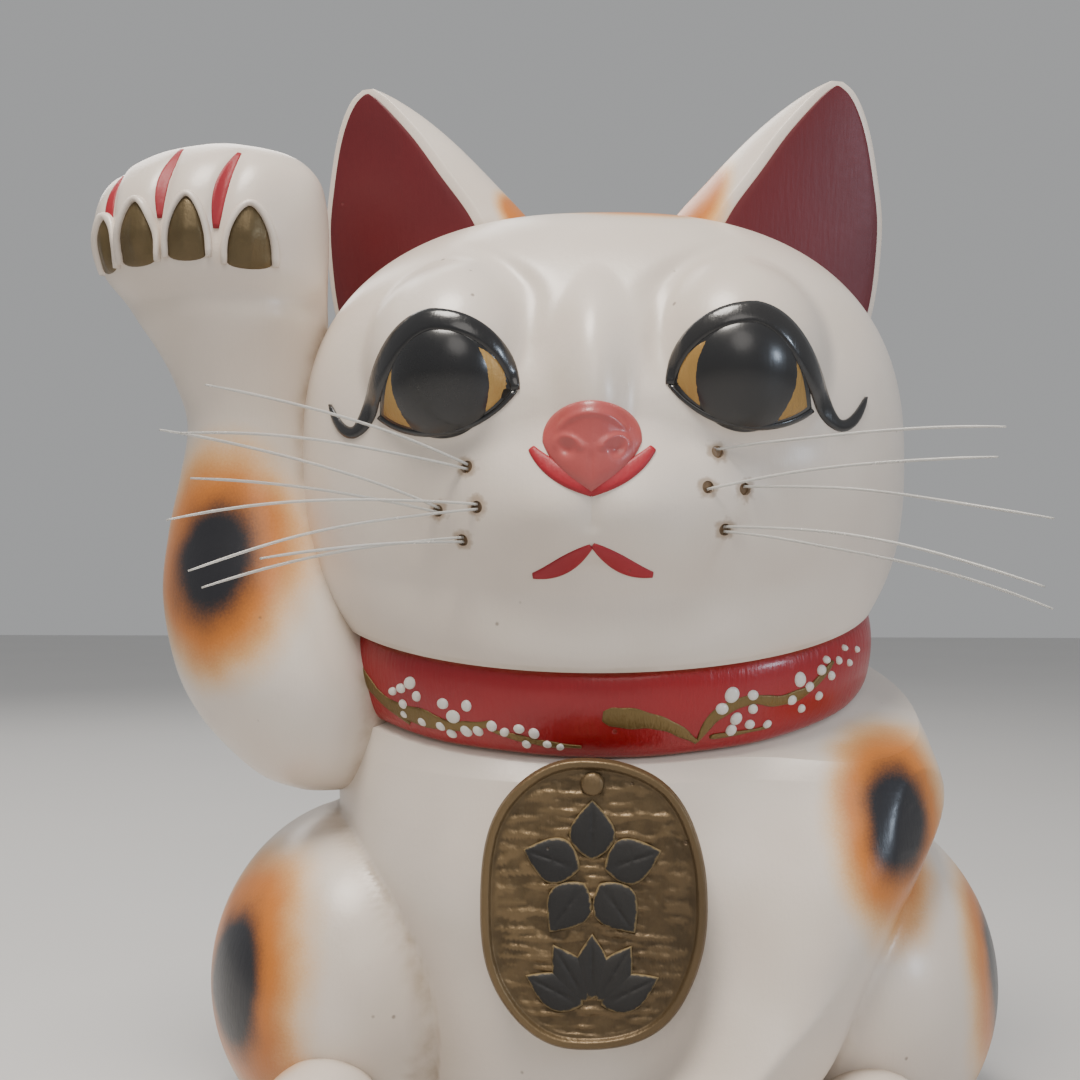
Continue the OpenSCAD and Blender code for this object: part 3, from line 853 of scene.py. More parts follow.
@dataclass(frozen=True)
class Dab:
    """A bell-shaped swelling or, with a height below 0, a hollow of the face, in x and z."""

    height: float
    at: tuple[float, float]
    half: tuple[float, float]

    def over(self, x: np.ndarray, z: np.ndarray) -> np.ndarray:
        """Its height at x and z."""
        return self.height * bell((x - self.at[0]) / self.half[0], (z - self.at[1]) / self.half[1])


@dataclass
class Column:
    """A limb as a stack of level ovals: rows of z, left, right, front and back."""

    rows: tuple[tuple[float, ...], ...]

    def oval(self, s: np.ndarray) -> tuple[np.ndarray, ...]:
        """Height, centre and half axes at the place s.

        Args:
            s: Place along the piece, from 0 to 1.

        Returns:
            Height, middle and half axes.
        """
        r = rows_at(self.rows, s)
        return r[..., 0], (r[..., 1] + r[..., 2]) / 2, (r[..., 3] + r[..., 4]) / 2, \
            (r[..., 2] - r[..., 1]) / 2, (r[..., 4] - r[..., 3]) / 2

    def point(self, u: np.ndarray, s: np.ndarray, grow: np.ndarray | float = 0.0) -> np.ndarray:
        """Point at the turn u and the place s."""
        z, cx, cy, a, b = self.oval(s)
        return np.stack([cx + (a + grow) * np.cos(u), cy + (b + grow) * np.sin(u), z + 0 * u], -1)

    def gap(self, p: np.ndarray) -> np.ndarray:
        """Approximate distance of points from the column's side, negative inside.

        Args:
            p: Points, in millimetres.

        Returns:
            Distances.
        """
        z, cx, cy, a, b = self.oval(place_of(self.rows, p[..., 2]))
        q = np.stack([(p[..., 0] - cx) / a, (p[..., 1] - cy) / b], -1)
        size = np.linalg.norm(q, axis=-1) + TINY
        side = size * (size - 1) / (np.linalg.norm(q / np.stack([a, b], -1), axis=-1) + TINY)
        return np.maximum(side, np.abs(p[..., 2] - z))

    def front(self, x: np.ndarray, z: np.ndarray, rise: np.ndarray | float = 0.0) -> np.ndarray:
        """Points of the front at x and z, moved out by rise.

        Args:
            x: Sideways place.
            z: Height.
            rise: Height over the surface.

        Returns:
            Points.
        """
        _, cx, cy, a, b = self.oval(place_of(self.rows, z))
        f = np.clip((x - cx) / a, -0.97, 0.97)
        y = cy - b * np.sqrt(1 - f * f)
        out = unit(np.stack([f / a, (y - cy) / b**2, 0 * f], -1))
        return np.stack([x, y, z], -1) + out * np.asarray(rise)[..., None]


@dataclass
class HeadForm:
    """The head: an oval with the eye domes, the bridge of the nose and the muzzle on it."""

    neck: Neck
    centre: tuple[float, float, float] = (0.0, -8.0, 185.0)
    half_w: float = 87.0
    crown_h: float = 71.0
    chin_h: float = 80.0
    face_d: float = 70.0
    back_d: float = 66.0
    side_power: float = 2.45
    depth_power: float = 2.2
    eye_domes: tuple[Egg, Egg] = (Egg((-36, -38, 22), (27, 36, 30)), Egg((36, -38, 22), (27, 36, 30)))
    bridge: Egg = Egg((0, -42, 12), (13.5, 34, 33))
    muzzle: Egg = Egg((0, -36, -14), (46, 39, 26))
    dome_join: float = 2.2
    bridge_join: float = 8
    muzzle_join: float = 12
    brow_hollow: Dab = Dab(-0.8, (0, 46), (16, 9))
    lip_swell: Dab = Dab(1.3, (10, -17), (9, 7))
    lip_hollow: Dab = Dab(-1.1, (0, -31.5), (13, 3.4))
    chin_swell: Dab = Dab(0.9, (0, -40), (12, 6))
    eye_hollow: Dab = Dab(-0.8, (38, 1), (17, 4))
    collar_from: float = 0.88

    def reach(self, d: np.ndarray) -> np.ndarray:
        """Distance from the centre to the skin in the unit directions d.

        Args:
            d: Unit directions.

        Returns:
            Distances.
        """
        c = np.where(d[..., 2] > 0, self.crown_h, self.chin_h)
        b = np.where(d[..., 1] < 0, self.face_d, self.back_d)
        p, q = self.side_power, self.depth_power
        side = (np.abs(d[..., 0] / self.half_w) ** p + np.abs(d[..., 2] / c) ** p) ** (1 / p)
        r = (side**q + np.abs(d[..., 1] / b) ** q) ** (-1 / q)
        for dome in self.eye_domes:
            r = soft_max(r, dome.reach(d), self.dome_join)
        r = soft_max(r, self.bridge.reach(d), self.bridge_join)
        r = soft_max(r, self.muzzle.reach(d), self.muzzle_join)
        return r + self.modelling(d * r[..., None])

    def modelling(self, p: np.ndarray) -> np.ndarray:
        """Small forms worked into the clay, as a height over the plain head.

        Each is a bell exp(-(distance / width)^2) round a line or a point of the face: the
        frown creases, the hollow between them, the groove under the nose and the chin.

        Args:
            p: Points, in millimetres.

        Returns:
            Heights.
        """
        x, y, z = np.abs(p[..., 0]), p[..., 1], p[..., 2]
        face = smooth((-y - 15) / 25)
        frown_x = 16.5 + 0.05 * np.clip(z - 38, 0, 20) ** 2
        frown = -1.9 * bell((x - frown_x) / 4.6) * smooth((z - 12) / 16) * smooth((60 - z) / 16)
        groove = -0.9 * bell(x / 1.8) * smooth((z + 23) / 3) * smooth((-10 - z) / 3)
        dabs = (self.brow_hollow, self.lip_swell, self.lip_hollow, self.chin_swell, self.eye_hollow)
        return face * (frown + groove + sum(dab.over(x, z) for dab in dabs))

    def direction(self, u: np.ndarray, v: np.ndarray) -> np.ndarray:
        """Unit vector at the turn u and the angle v down from the crown."""
        return self.neck.lean(np.stack([np.sin(v) * np.cos(u), np.sin(v) * np.sin(u), np.cos(v) + 0 * u], -1))

    def point(self, u: np.ndarray, s: np.ndarray) -> np.ndarray:
        """Skin at the turn u, at the share s of the way from the crown to the collar.

        Args:
            u: Turn about the axis, in radians.
            s: Share of the way from the crown to the collar.

        Returns:
            Points of the skin.
        """
        n = self.neck
        seat = n.point(u, n.edge_w, n.edge_d, n.ledge) - np.asarray(self.centre)
        axis = self.direction(np.zeros(1), np.zeros(1))[0]
        down = seat @ axis
        length = np.linalg.norm(seat, axis=-1)
        across = seat - down[..., None] * axis
        turn = np.arctan2(across @ n.lean(np.array([0.0, 1.0, 0.0])), across[..., 0])
        d = self.direction(turn, np.arccos(down / length) * s)
        w = smooth((s - self.collar_from) / (1 - self.collar_from))
        r = self.reach(d) * (1 - w) + length * w
        return np.asarray(self.centre) + d * r[..., None]

    def gap(self, p: np.ndarray) -> np.ndarray:
        """Distance of points from the skin along their ray, negative inside.

        Args:
            p: Points, in millimetres.

        Returns:
            Distances.
        """
        q = p - np.asarray(self.centre)
        size = np.linalg.norm(q, axis=-1)
        return size - self.reach(q / size[..., None])

    def front_y(self, x: np.ndarray, z: np.ndarray) -> np.ndarray:
        """Depth of the face at x and z, by halving the interval that holds the skin.

        Args:
            x: Sideways place.
            z: Height.

        Returns:
            Depths.
        """
        before, within = np.full(np.shape(x), -120.0), np.full(np.shape(x), -8.5)
        inside, outside = halved(within, before, lambda y: self.gap(np.stack([x, y, z], -1)) < 0, 34)
        return (outside + inside) / 2

    def lifted(self, x: np.ndarray, z: np.ndarray, rise: np.ndarray) -> np.ndarray:
        """Points over the face at x and z, moved out along its normal by rise.

        Args:
            x: Sideways places.
            z: Height.
            rise: Height over the surface.

        Returns:
            Points.
        """
        e = 0.4
        y = self.front_y(x, z)
        slope_x = (self.front_y(x + e, z) - self.front_y(x - e, z)) / (2 * e)
        slope_z = (self.front_y(x, z + e) - self.front_y(x, z - e)) / (2 * e)
        normal = unit(np.stack([slope_x, -np.ones_like(y), slope_z], -1))
        return np.stack([x, y, z], -1) + normal * np.asarray(rise)[..., None]


# ---------------------------------------------------------------- clay members

RIGHT, LEFT = -1, 1


@dataclass
class ClayBody:
    """Chest, haunches and straight foreleg, luted into one skin.

    The skin is star-shaped about the line through the middles of the torso's rings. Along
    each ray it is the outermost zero of the soft union of the torso, the foreleg (a wide
    join, smoothed with slip) and the haunches (a narrow join, left as a crease).
    """

    neck: Neck
    torso: tuple[tuple[float, ...], ...] = (
        (0.8, -58, 58, -62, 64), (6, -62, 62, -66, 74), (20, -64, 64, -70, 80),
        (45, -68, 68, -74, 81), (72, -76, 76, -75, 77), (95, -77, 77, -69, 70))
    foreleg: Column = field(default_factory=lambda: Column((
        (0, 20, 48, -92, -58), (7, 15, 52.5, -95, -54), (18, 17, 53, -92, -48), (30, 24, 62, -86, -40),
        (45, 28, 70, -80, -32), (60, 32, 78, -76, -26), (76, 36, 87, -71, -18), (92, 40, 94, -64, -8),
        (106, 44, 91, -56, 0), (118, 50, 84, -44, 4), (126, 58, 76, -30, 0))))
    shoulder: tuple[float, ...] = (123.0, -78.5, 78.5, -67, 62)
    haunches: tuple[Egg, Egg] = (Egg((-68, -4, 36), (45.5, 60, 50)), Egg((68, -4, 36), (45.5, 60, 50)))
    foot_at: Place = (71, -68, 11)
    foot_half: Place = (16.5, 27, 15)
    foot_gaps: tuple[float, float] = (66.0, 76.0)
    foot_line_top: float = 21.0
    foot_line_low: float = 8.0
    opening_r: float = 53.0
    rows: int = 250
    cols: int = 350
    search: float = 70.0
    steps: int = 35
    slip_join: float = 26.0
    crease_join: float = 1.6

    def ring_point(self, u: np.ndarray, s: np.ndarray) -> tuple[np.ndarray, np.ndarray]:
        """Point of the bare torso and the middle of its ring.

        Args:
            u: Turn about the axis, in radians.
            s: Place along the piece, from 0 to 1.

        Returns:
            The points, and the middles of their rings.
        """
        r = rows_at(self.torso, s / 0.75)
        z, cx, cy = r[..., 0], (r[..., 1] + r[..., 2]) / 2, (r[..., 3] + r[..., 4]) / 2
        a, b = (r[..., 2] - r[..., 1]) / 2, (r[..., 4] - r[..., 3]) / 2
        low = np.stack([cx + a * np.cos(u), cy + b * np.sin(u), z + 0 * u], -1)
        high = self.neck.point(u, self.neck.edge_w, self.neck.edge_d, -self.neck.ledge)
        t = smooth((s - 0.55) / 0.45)[..., None]
        middle_low = np.stack([cx, cy, z], -1) + 0 * low
        middle_high = self.neck.point(u, 0.0, 0.0, -self.neck.ledge)
        return low + (high - low) * t, middle_low + (middle_high - middle_low) * t

    def limbs(self, p: np.ndarray) -> tuple[np.ndarray, np.ndarray]:
        """Distances from the foreleg and from the nearer haunch."""
        right, left = (haunch.gap(p) for haunch in self.haunches)
        return self.foreleg.gap(p), np.minimum(right, left)

    def skin(self) -> Surface:
        """The whole skin with its flat foot, and a mark of dirt and painted shade along its creases.

        Returns:
            The closed skin.
        """
        turns = np.arange(self.cols) * TURN / self.cols
        s, u = np.meshgrid(np.linspace(0, 1, self.rows), turns, indexing="ij")
        torso, middle = self.ring_point(u, s)
        span = torso - middle
        base = np.linalg.norm(span, axis=-1)
        ray = span / base[..., None]

        def inside_at(t: np.ndarray) -> np.ndarray:
            leg, haunch = self.limbs(middle + ray * t[..., None])
            body = soft_min(t - base, leg, self.slip_join)
            return soft_min(body, haunch, self.crease_join) < 0

        near, far = base - 1.0, base + self.search
        reach = near.copy()
        for step in np.linspace(0, 1, self.steps + 1)[1:]:
            t = near + (far - near) * step
            reach = np.where(inside_at(t), t, reach)
        low, _ = halved(reach, reach + (far - near) / self.steps, inside_at, 12)
        skin = middle + ray * low[..., None]
        skin[..., 2] = np.maximum(skin[..., 2], 0.0)
        # Where the skin folds into a hollow it carries the crease mark: dirt and painted shade.
        crease = self.hollows(low) * smooth((skin[..., 2] - 4) / 6)
        inner = [self.foot_ring(h) for h in (12.0, 0.8)]
        top = [self.neck.point(u[0], self.neck.half_w - 1, self.neck.half_d - 1, level)
               for level in (-self.neck.ledge, -self.neck.ledge + 3)]
        grid = np.concatenate([np.stack(inner), skin, np.stack(top)])
        pad_rows = np.zeros((2, self.cols))
        return tube(grid, {"crease": np.concatenate([pad_rows, crease, pad_rows])})

    @staticmethod
    def hollows(reach: np.ndarray, blurs: int = 2) -> np.ndarray:
        """Mark of the sharp hollows of a star-shaped grid: its positive second differences.

        Args:
            reach: Distances from the middle line, as a grid.
            blurs: Number of times the mark is softened.

        Returns:
            Marks, from 0 to 1.
        """
        across = np.roll(reach, 1, 1) + np.roll(reach, -1, 1) - 2 * reach
        along = np.zeros_like(reach)
        along[1:-1] = reach[2:] + reach[:-2] - 2 * reach[1:-1]
        mark = np.maximum(across, 0) + np.maximum(along, 0)
        for _ in range(blurs):
            mark = (np.roll(mark, 1, 1) + np.roll(mark, -1, 1) + 2 * mark) / 4
            mark[1:-1] = (mark[2:] + mark[:-2] + 2 * mark[1:-1]) / 4
        return smooth((mark - 0.6) / 0.8)

    def foot_ring(self, z: float) -> np.ndarray:
        """Ring at the height z of the opening that the base plate closes."""
        u = np.arange(self.cols) * TURN / self.cols
        return np.stack([self.opening_r * np.cos(u), self.opening_r * np.sin(u), np.full_like(u, z)], -1)

    def torso_gap(self, p: np.ndarray) -> np.ndarray:
        """Approximate distance from the chest, for marks where other members meet it."""
        return Column(self.torso + (self.shoulder,)).gap(p)

    def foot(self, side: int) -> Surface:
        """A hind foot: an egg with toes parted by grooves, flat underneath.

        Args:
            side: RIGHT or LEFT.

        Returns:
            The closed skin.
        """
        x0, y0, z0 = self.foot_at[0] * side, self.foot_at[1], self.foot_at[2]
        v, u = np.meshgrid(np.linspace(-1.5, 1.5, 70), np.arange(120) * TURN / 120, indexing="ij")
        a, b, c = self.foot_half
        n = np.stack([np.cos(v) * np.cos(u), np.cos(v) * np.sin(u), np.sin(v)], -1)
        x = x0 + a * n[..., 0]
        groove = sum(bell((x - side * g) / 1.3) for g in self.foot_gaps)
        front = smooth((-n[..., 1] - 0.35) / 0.4)
        p = np.stack([x, y0 + b * n[..., 1], z0 + c * n[..., 2]], -1) - n * (groove * front)[..., None]
        p[..., 2] = np.maximum(p[..., 2], 0.0)
        # Where the foot meets the haunch it carries the crease mark: dirt and painted shade.
        crease = bell(self.limbs(p)[1] / 2.5)
        return tube(p, {"crease": crease})

    def foot_front(self, side: int) -> Lift:
        """Lift over the front of a hind foot.

        Args:
            side: RIGHT or LEFT.

        Returns:
            A lift.
        """
        x0, (a, b, c) = self.foot_at[0] * side, self.foot_half

        def lift(x: np.ndarray, z: np.ndarray, rise: np.ndarray) -> np.ndarray:
            f, g = (x - x0) / a, (z - self.foot_at[2]) / c
            y = -np.sqrt(np.maximum(1 - f * f - g * g, 0.02))
            n = unit(np.stack([f / a, y / b, g / c], -1))
            return np.stack([x, self.foot_at[1] + b * y, z], -1) + n * (rise - 0.5)[..., None]

        return lift

    def foot_line(self, side: int, x: float, count: int = 14) -> Surface:
        """A red brush stroke down between two toes of a hind foot.

        Args:
            side: RIGHT or LEFT.
            x: Distance from the middle.
            count: Number of points.

        Returns:
            The stroke.
        """
        z = np.linspace(self.foot_line_top, self.foot_line_low, count)
        width = 0.3 + 0.6 * np.sin(np.linspace(0.2, 2.9, count))
        path = np.stack([np.full(count, side * x), z], -1)
        return stroke(path, width, self.foot_front(side), 0.45)


@dataclass(frozen=True)
class ToeGap:
    """The red groove between two toes: x and slope, its ends and the half width of its paint."""

    x: float
    slope: float
    low: float
    high: float
    half_w: float


@dataclass(frozen=True)
class Claw:
    """A claw: middle and foot of its drop, half width and height."""

    x: float
    z: float
    half_w: float
    height: float


@dataclass
class RaisedArm:
    """The arm held up beside the head, ending in a folded paw with four toes."""

    column: Column = field(default_factory=lambda: Column((
        (90.5, -87, -72, -24, -10), (94, -97, -62, -34, 4), (101, -106, -56, -42, 14),
        (112, -116, -52, -48, 22), (126, -123, -54, -51, 26), (146, -127, -62, -49, 26),
        (164, -125.5, -70, -45, 22),
        (180, -122, -75, -42, 16), (195, -119.5, -77, -41, 12), (207, -122.5, -78, -43, 8),
        (218, -128, -78, -46, 5), (228, -135, -78, -50, 3), (237, -141, -77.5, -53, 2),
        (247, -143.5, -77, -54, 1), (257, -142, -77.5, -52, -2), (265, -136, -80, -47, -6),
        (271, -127, -87, -40, -12), (274.6, -115, -100, -30, -20))))
    toe_gaps: tuple[ToeGap, ...] = (
        ToeGap(-133.5, 0.02, 242.0, 264.0, 0.75), ToeGap(-118.0, 0.12, 249.0, 271.0, 1.125),
        ToeGap(-101.5, 0.16, 246.0, 269.0, 1.5))
    toe_z: float = 252.0
    claws: tuple[Claw, ...] = (
        Claw(-135.4, 236, 3.0, 14.5), Claw(-124.6, 236.2, 5.2, 17.5), Claw(-110.4, 237, 5.2, 17.5),
        Claw(-94.2, 235.2, 5.6, 17))

    def modelling(self, p: np.ndarray) -> np.ndarray:
        """Toes parted by grooves over the front of the fist, and the fold of the wrist.

        Args:
            p: Points, in millimetres.

        Returns:
            Heights.
        """
        x, y, z = p[..., 0], p[..., 1], p[..., 2]
        paw = smooth((z - 238) / 8) * smooth((272 - z) / 8) * smooth((-y - 18) / 14)
        grooves = sum(bell((x - gap.x - gap.slope * (z - self.toe_z)) / 2.2) for gap in self.toe_gaps)
        toes = sum(bell((x - claw.x - 0.08 * (z - 240)) / 6.0) for claw in self.claws)
        under = -1.6 * bell((z - 229) / 4.5) * smooth((-y - 20) / 12)
        return paw * (1.2 * toes - 1.7 * grooves) + under

    def skin(self, head: HeadForm, body: ClayBody) -> Surface:
        """The arm's skin, with a mark of dirt and painted shade where it meets the head and the chest.

        Args:
            head: The head.
            body: The chest and haunches.

        Returns:
            The closed skin.
        """
        s, u = np.meshgrid(np.linspace(0, 1, 240), np.arange(200) * TURN / 200, indexing="ij")
        p = self.column.point(u, s, self.modelling(self.column.point(u, s)))
        crease = np.maximum(bell(head.gap(p) / 2.6), bell(body.torso_gap(p) / 2.6))
        return tube(p, {"crease": crease * 0.8})

    def lift(self, x: np.ndarray, z: np.ndarray, rise: np.ndarray) -> np.ndarray:
        """Points over the front of the paw, over its toes and grooves."""
        base = self.column.front(x, z)
        return self.column.front(x, z, rise + self.modelling(base))

    def claw(self, one: Claw) -> tuple[Surface, Surface]:
        """A ridge round a tear drop with a flat lower end, and the drop inside it.

        Args:
            one: The one to build.

        Returns:
            The ridge, and the drop.
        """
        x, z, w, h = one.x, one.z, one.half_w, one.height
        right = bezier([[w, h * 0.1], [w, h * 0.62], [w * 0.42, h], [0, h]], 16)
        left = right[::-1] * [-1, 1]
        foot = bezier([[-w, h * 0.1], [-w * 0.9, -0.4], [w * 0.9, -0.4], [w, h * 0.1]], 10)
        outline = joined(right, left, foot)[:-1] + [x, z]
        middle = np.array([x, z + 0.38 * h])

        def facet(p: np.ndarray) -> np.ndarray:
            q = (p - middle) / [w, h]
            return 0.55 * bell(q[..., 0] / 0.3, (q[..., 1] + 0.05) / 0.32)

        drop = pad(outline, middle, self.lift, 0.9, crown=0.6, rings=16, extra=facet)
        around = joined(right, left) + [x, z]
        around = around + unit(around - middle) * 0.9
        width = 0.95 * np.minimum(1, 6 * (0.08 + np.sin(np.linspace(0.05, math.pi - 0.05, len(around)))))
        return stroke(around, width, self.lift, 1.7, across=9), drop

    def toe_line(self, gap: ToeGap, count: int = 18) -> Surface:
        """A red brush stroke down between two toes.

        Args:
            gap: The gap between the toes.
            count: Number of points.

        Returns:
            The stroke.
        """
        z = np.linspace(gap.high, gap.low, count)
        bow = 0.9 * np.sin(np.linspace(0, math.pi, count))
        width = 0.35 + gap.half_w * np.sin(np.linspace(0.15, 2.9, count)) ** 0.8
        x = gap.x + gap.slope * (z - self.toe_z) - bow
        return stroke(np.stack([x, z], -1), width, self.lift, 0.45)


@dataclass
class Ear:
    """A leaf-shaped ear: a flat front turned outward and a rounded back."""

    rows: tuple[tuple[float, ...], ...] = (
        (222, -79, -21, 44), (234, -82, -24, 44), (246, -83.5, -29, 42), (258, -84, -34.8, 38),
        (270, -82.5, -43.5, 31), (281, -80.5, -51.5, 23), (289, -78, -58.5, 16), (294.5, -75, -64, 8),
        (297.3, -71.5, -68, 2))
    turn: float = math.radians(25)
    back: float = math.radians(52)
    y: float = -1.0
    front_t: float = 0.1
    slant: float = 0.9

    def section(self, s: np.ndarray) -> tuple[np.ndarray, ...]:
        """Height, middle, half width and depth at the place s."""
        z, left, right, depth = np.moveaxis(rows_at(self.rows, s), -1, 0)
        return z, (left + right) / 2, (right - left) / 2, depth

    def skin(self, head: HeadForm) -> Surface:
        """The ear's white skin.

        Args:
            head: The head.

        Returns:
            The closed skin.
        """
        s, u = np.meshgrid(np.linspace(0, 1, 110), np.arange(140) * TURN / 140, indexing="ij")
        z, mid, half, depth = self.section(s)
        front = np.sin(u) < 0
        x = half * np.cos(u)
        out = np.where(front, half * self.front_t, depth) * np.sin(u)
        t = np.where(front, self.turn, self.back)
        y = self.y - x * math.sin(self.turn) * self.slant + out * np.cos(t)
        p = np.stack([mid + x + out * np.sin(t), y, z], -1)
        # Where the ear meets the head it carries the crease mark: dirt and painted shade.
        return tube(p, {"crease": bell(head.gap(p) / 2.2) * 0.8})

    def lift(self, x: np.ndarray, z: np.ndarray, rise: np.ndarray) -> np.ndarray:
        """Points over the flat front.

        Args:
            x: Sideways place.
            z: Height.
            rise: Height over the surface.

        Returns:
            Points.
        """
        _, mid, half, _ = self.section(place_of(self.rows, z))
        share = np.clip((x - mid) / half, -1, 1)
        out = half * self.front_t * np.sqrt(1 - share * share) * 0.995 + rise
        slope = math.sin(self.turn) * self.slant
        y = self.y - (x - mid) * slope - out * math.cos(self.turn)
        return np.stack([x - out * math.sin(self.turn), y, z], -1)

    def lining(self) -> Surface:
        """The crimson field inside the rim, closed behind.

        Returns:
            The closed field.
        """
        s = np.linspace(0, 0.985, 60)
        r = rows_at(self.rows, s)
        outer = np.stack([r[:, 1] + 1.0 + 1.0 * s, r[:, 0] - 1.2 * s], -1)
        inner = np.stack([r[:, 2] - 1.4 - 0.8 * np.sin(s * 3), r[:, 0] - 1.2 * s], -1)
        rows = np.linspace(0.02, 0.98, 40)[:, None, None]
        flat = outer[None] * (1 - rows) + inner[None] * rows
        share = np.broadcast_to(rows[..., 0], flat.shape[:2])
        top_taper = smooth((1 - s) / 0.04)[None]
        h = (0.15 + 0.4 * np.minimum(1, np.minimum(share, 1 - share) * 16) ** 0.5) * top_taper
        face = self.lift(flat[..., 0], flat[..., 1], h)
        rear = self.lift(flat[..., 0], flat[..., 1], h * 0 - 0.9)
        grid = np.concatenate([face.transpose(1, 0, 2), rear[::-1].transpose(1, 0, 2)], 1)
        marks = {"edge": np.ones(grid.shape[:2]) * 0.5}
        return facing(tube(grid, marks), face.mean((0, 1)) - rear.mean((0, 1)), 20)


def mirrored(s: Surface) -> Surface:
    """The same piece on the other side of the figure."""
    return Surface(s.points * [-1, 1, 1], [f[::-1] for f in s.faces], s.marks)


@dataclass
class Tail:
    """A short tail round the back of the base, curled up at its tip."""

    rows: tuple[tuple[float, ...], ...] = (
        (20, 74, 16, 15), (2, 88, 17, 14.5), (-16, 92, 24, 13.5), (-28, 90, 37, 12.5), (-30, 86, 52, 11),
        (-24, 82, 64, 9), (-17, 79, 71, 5.5), (-13, 78, 73.5, 1.2))

    def skin(self, body: ClayBody) -> Surface:
        """Rings square to the path.

        Args:
            body: The chest and haunches.

        Returns:
            The closed skin.
        """
        s, u = np.meshgrid(np.linspace(0, 1, 130), np.arange(80) * TURN / 80, indexing="ij")
        at = rows_at(self.rows, s)
        ahead, behind = rows_at(self.rows, s + 0.01), rows_at(self.rows, s - 0.01)
        t = unit((ahead - behind)[..., :3])
        side = unit(np.cross(t, [0, 1, 0]))
        up = np.cross(t, side)
        p = at[..., :3] + at[..., 3:] * (np.cos(u)[..., None] * side + np.sin(u)[..., None] * up)
        # Where the tail meets the chest it carries the crease mark: dirt and painted shade.
        return tube(p, {"crease": bell(body.torso_gap(p) / 2.5) * 0.7})


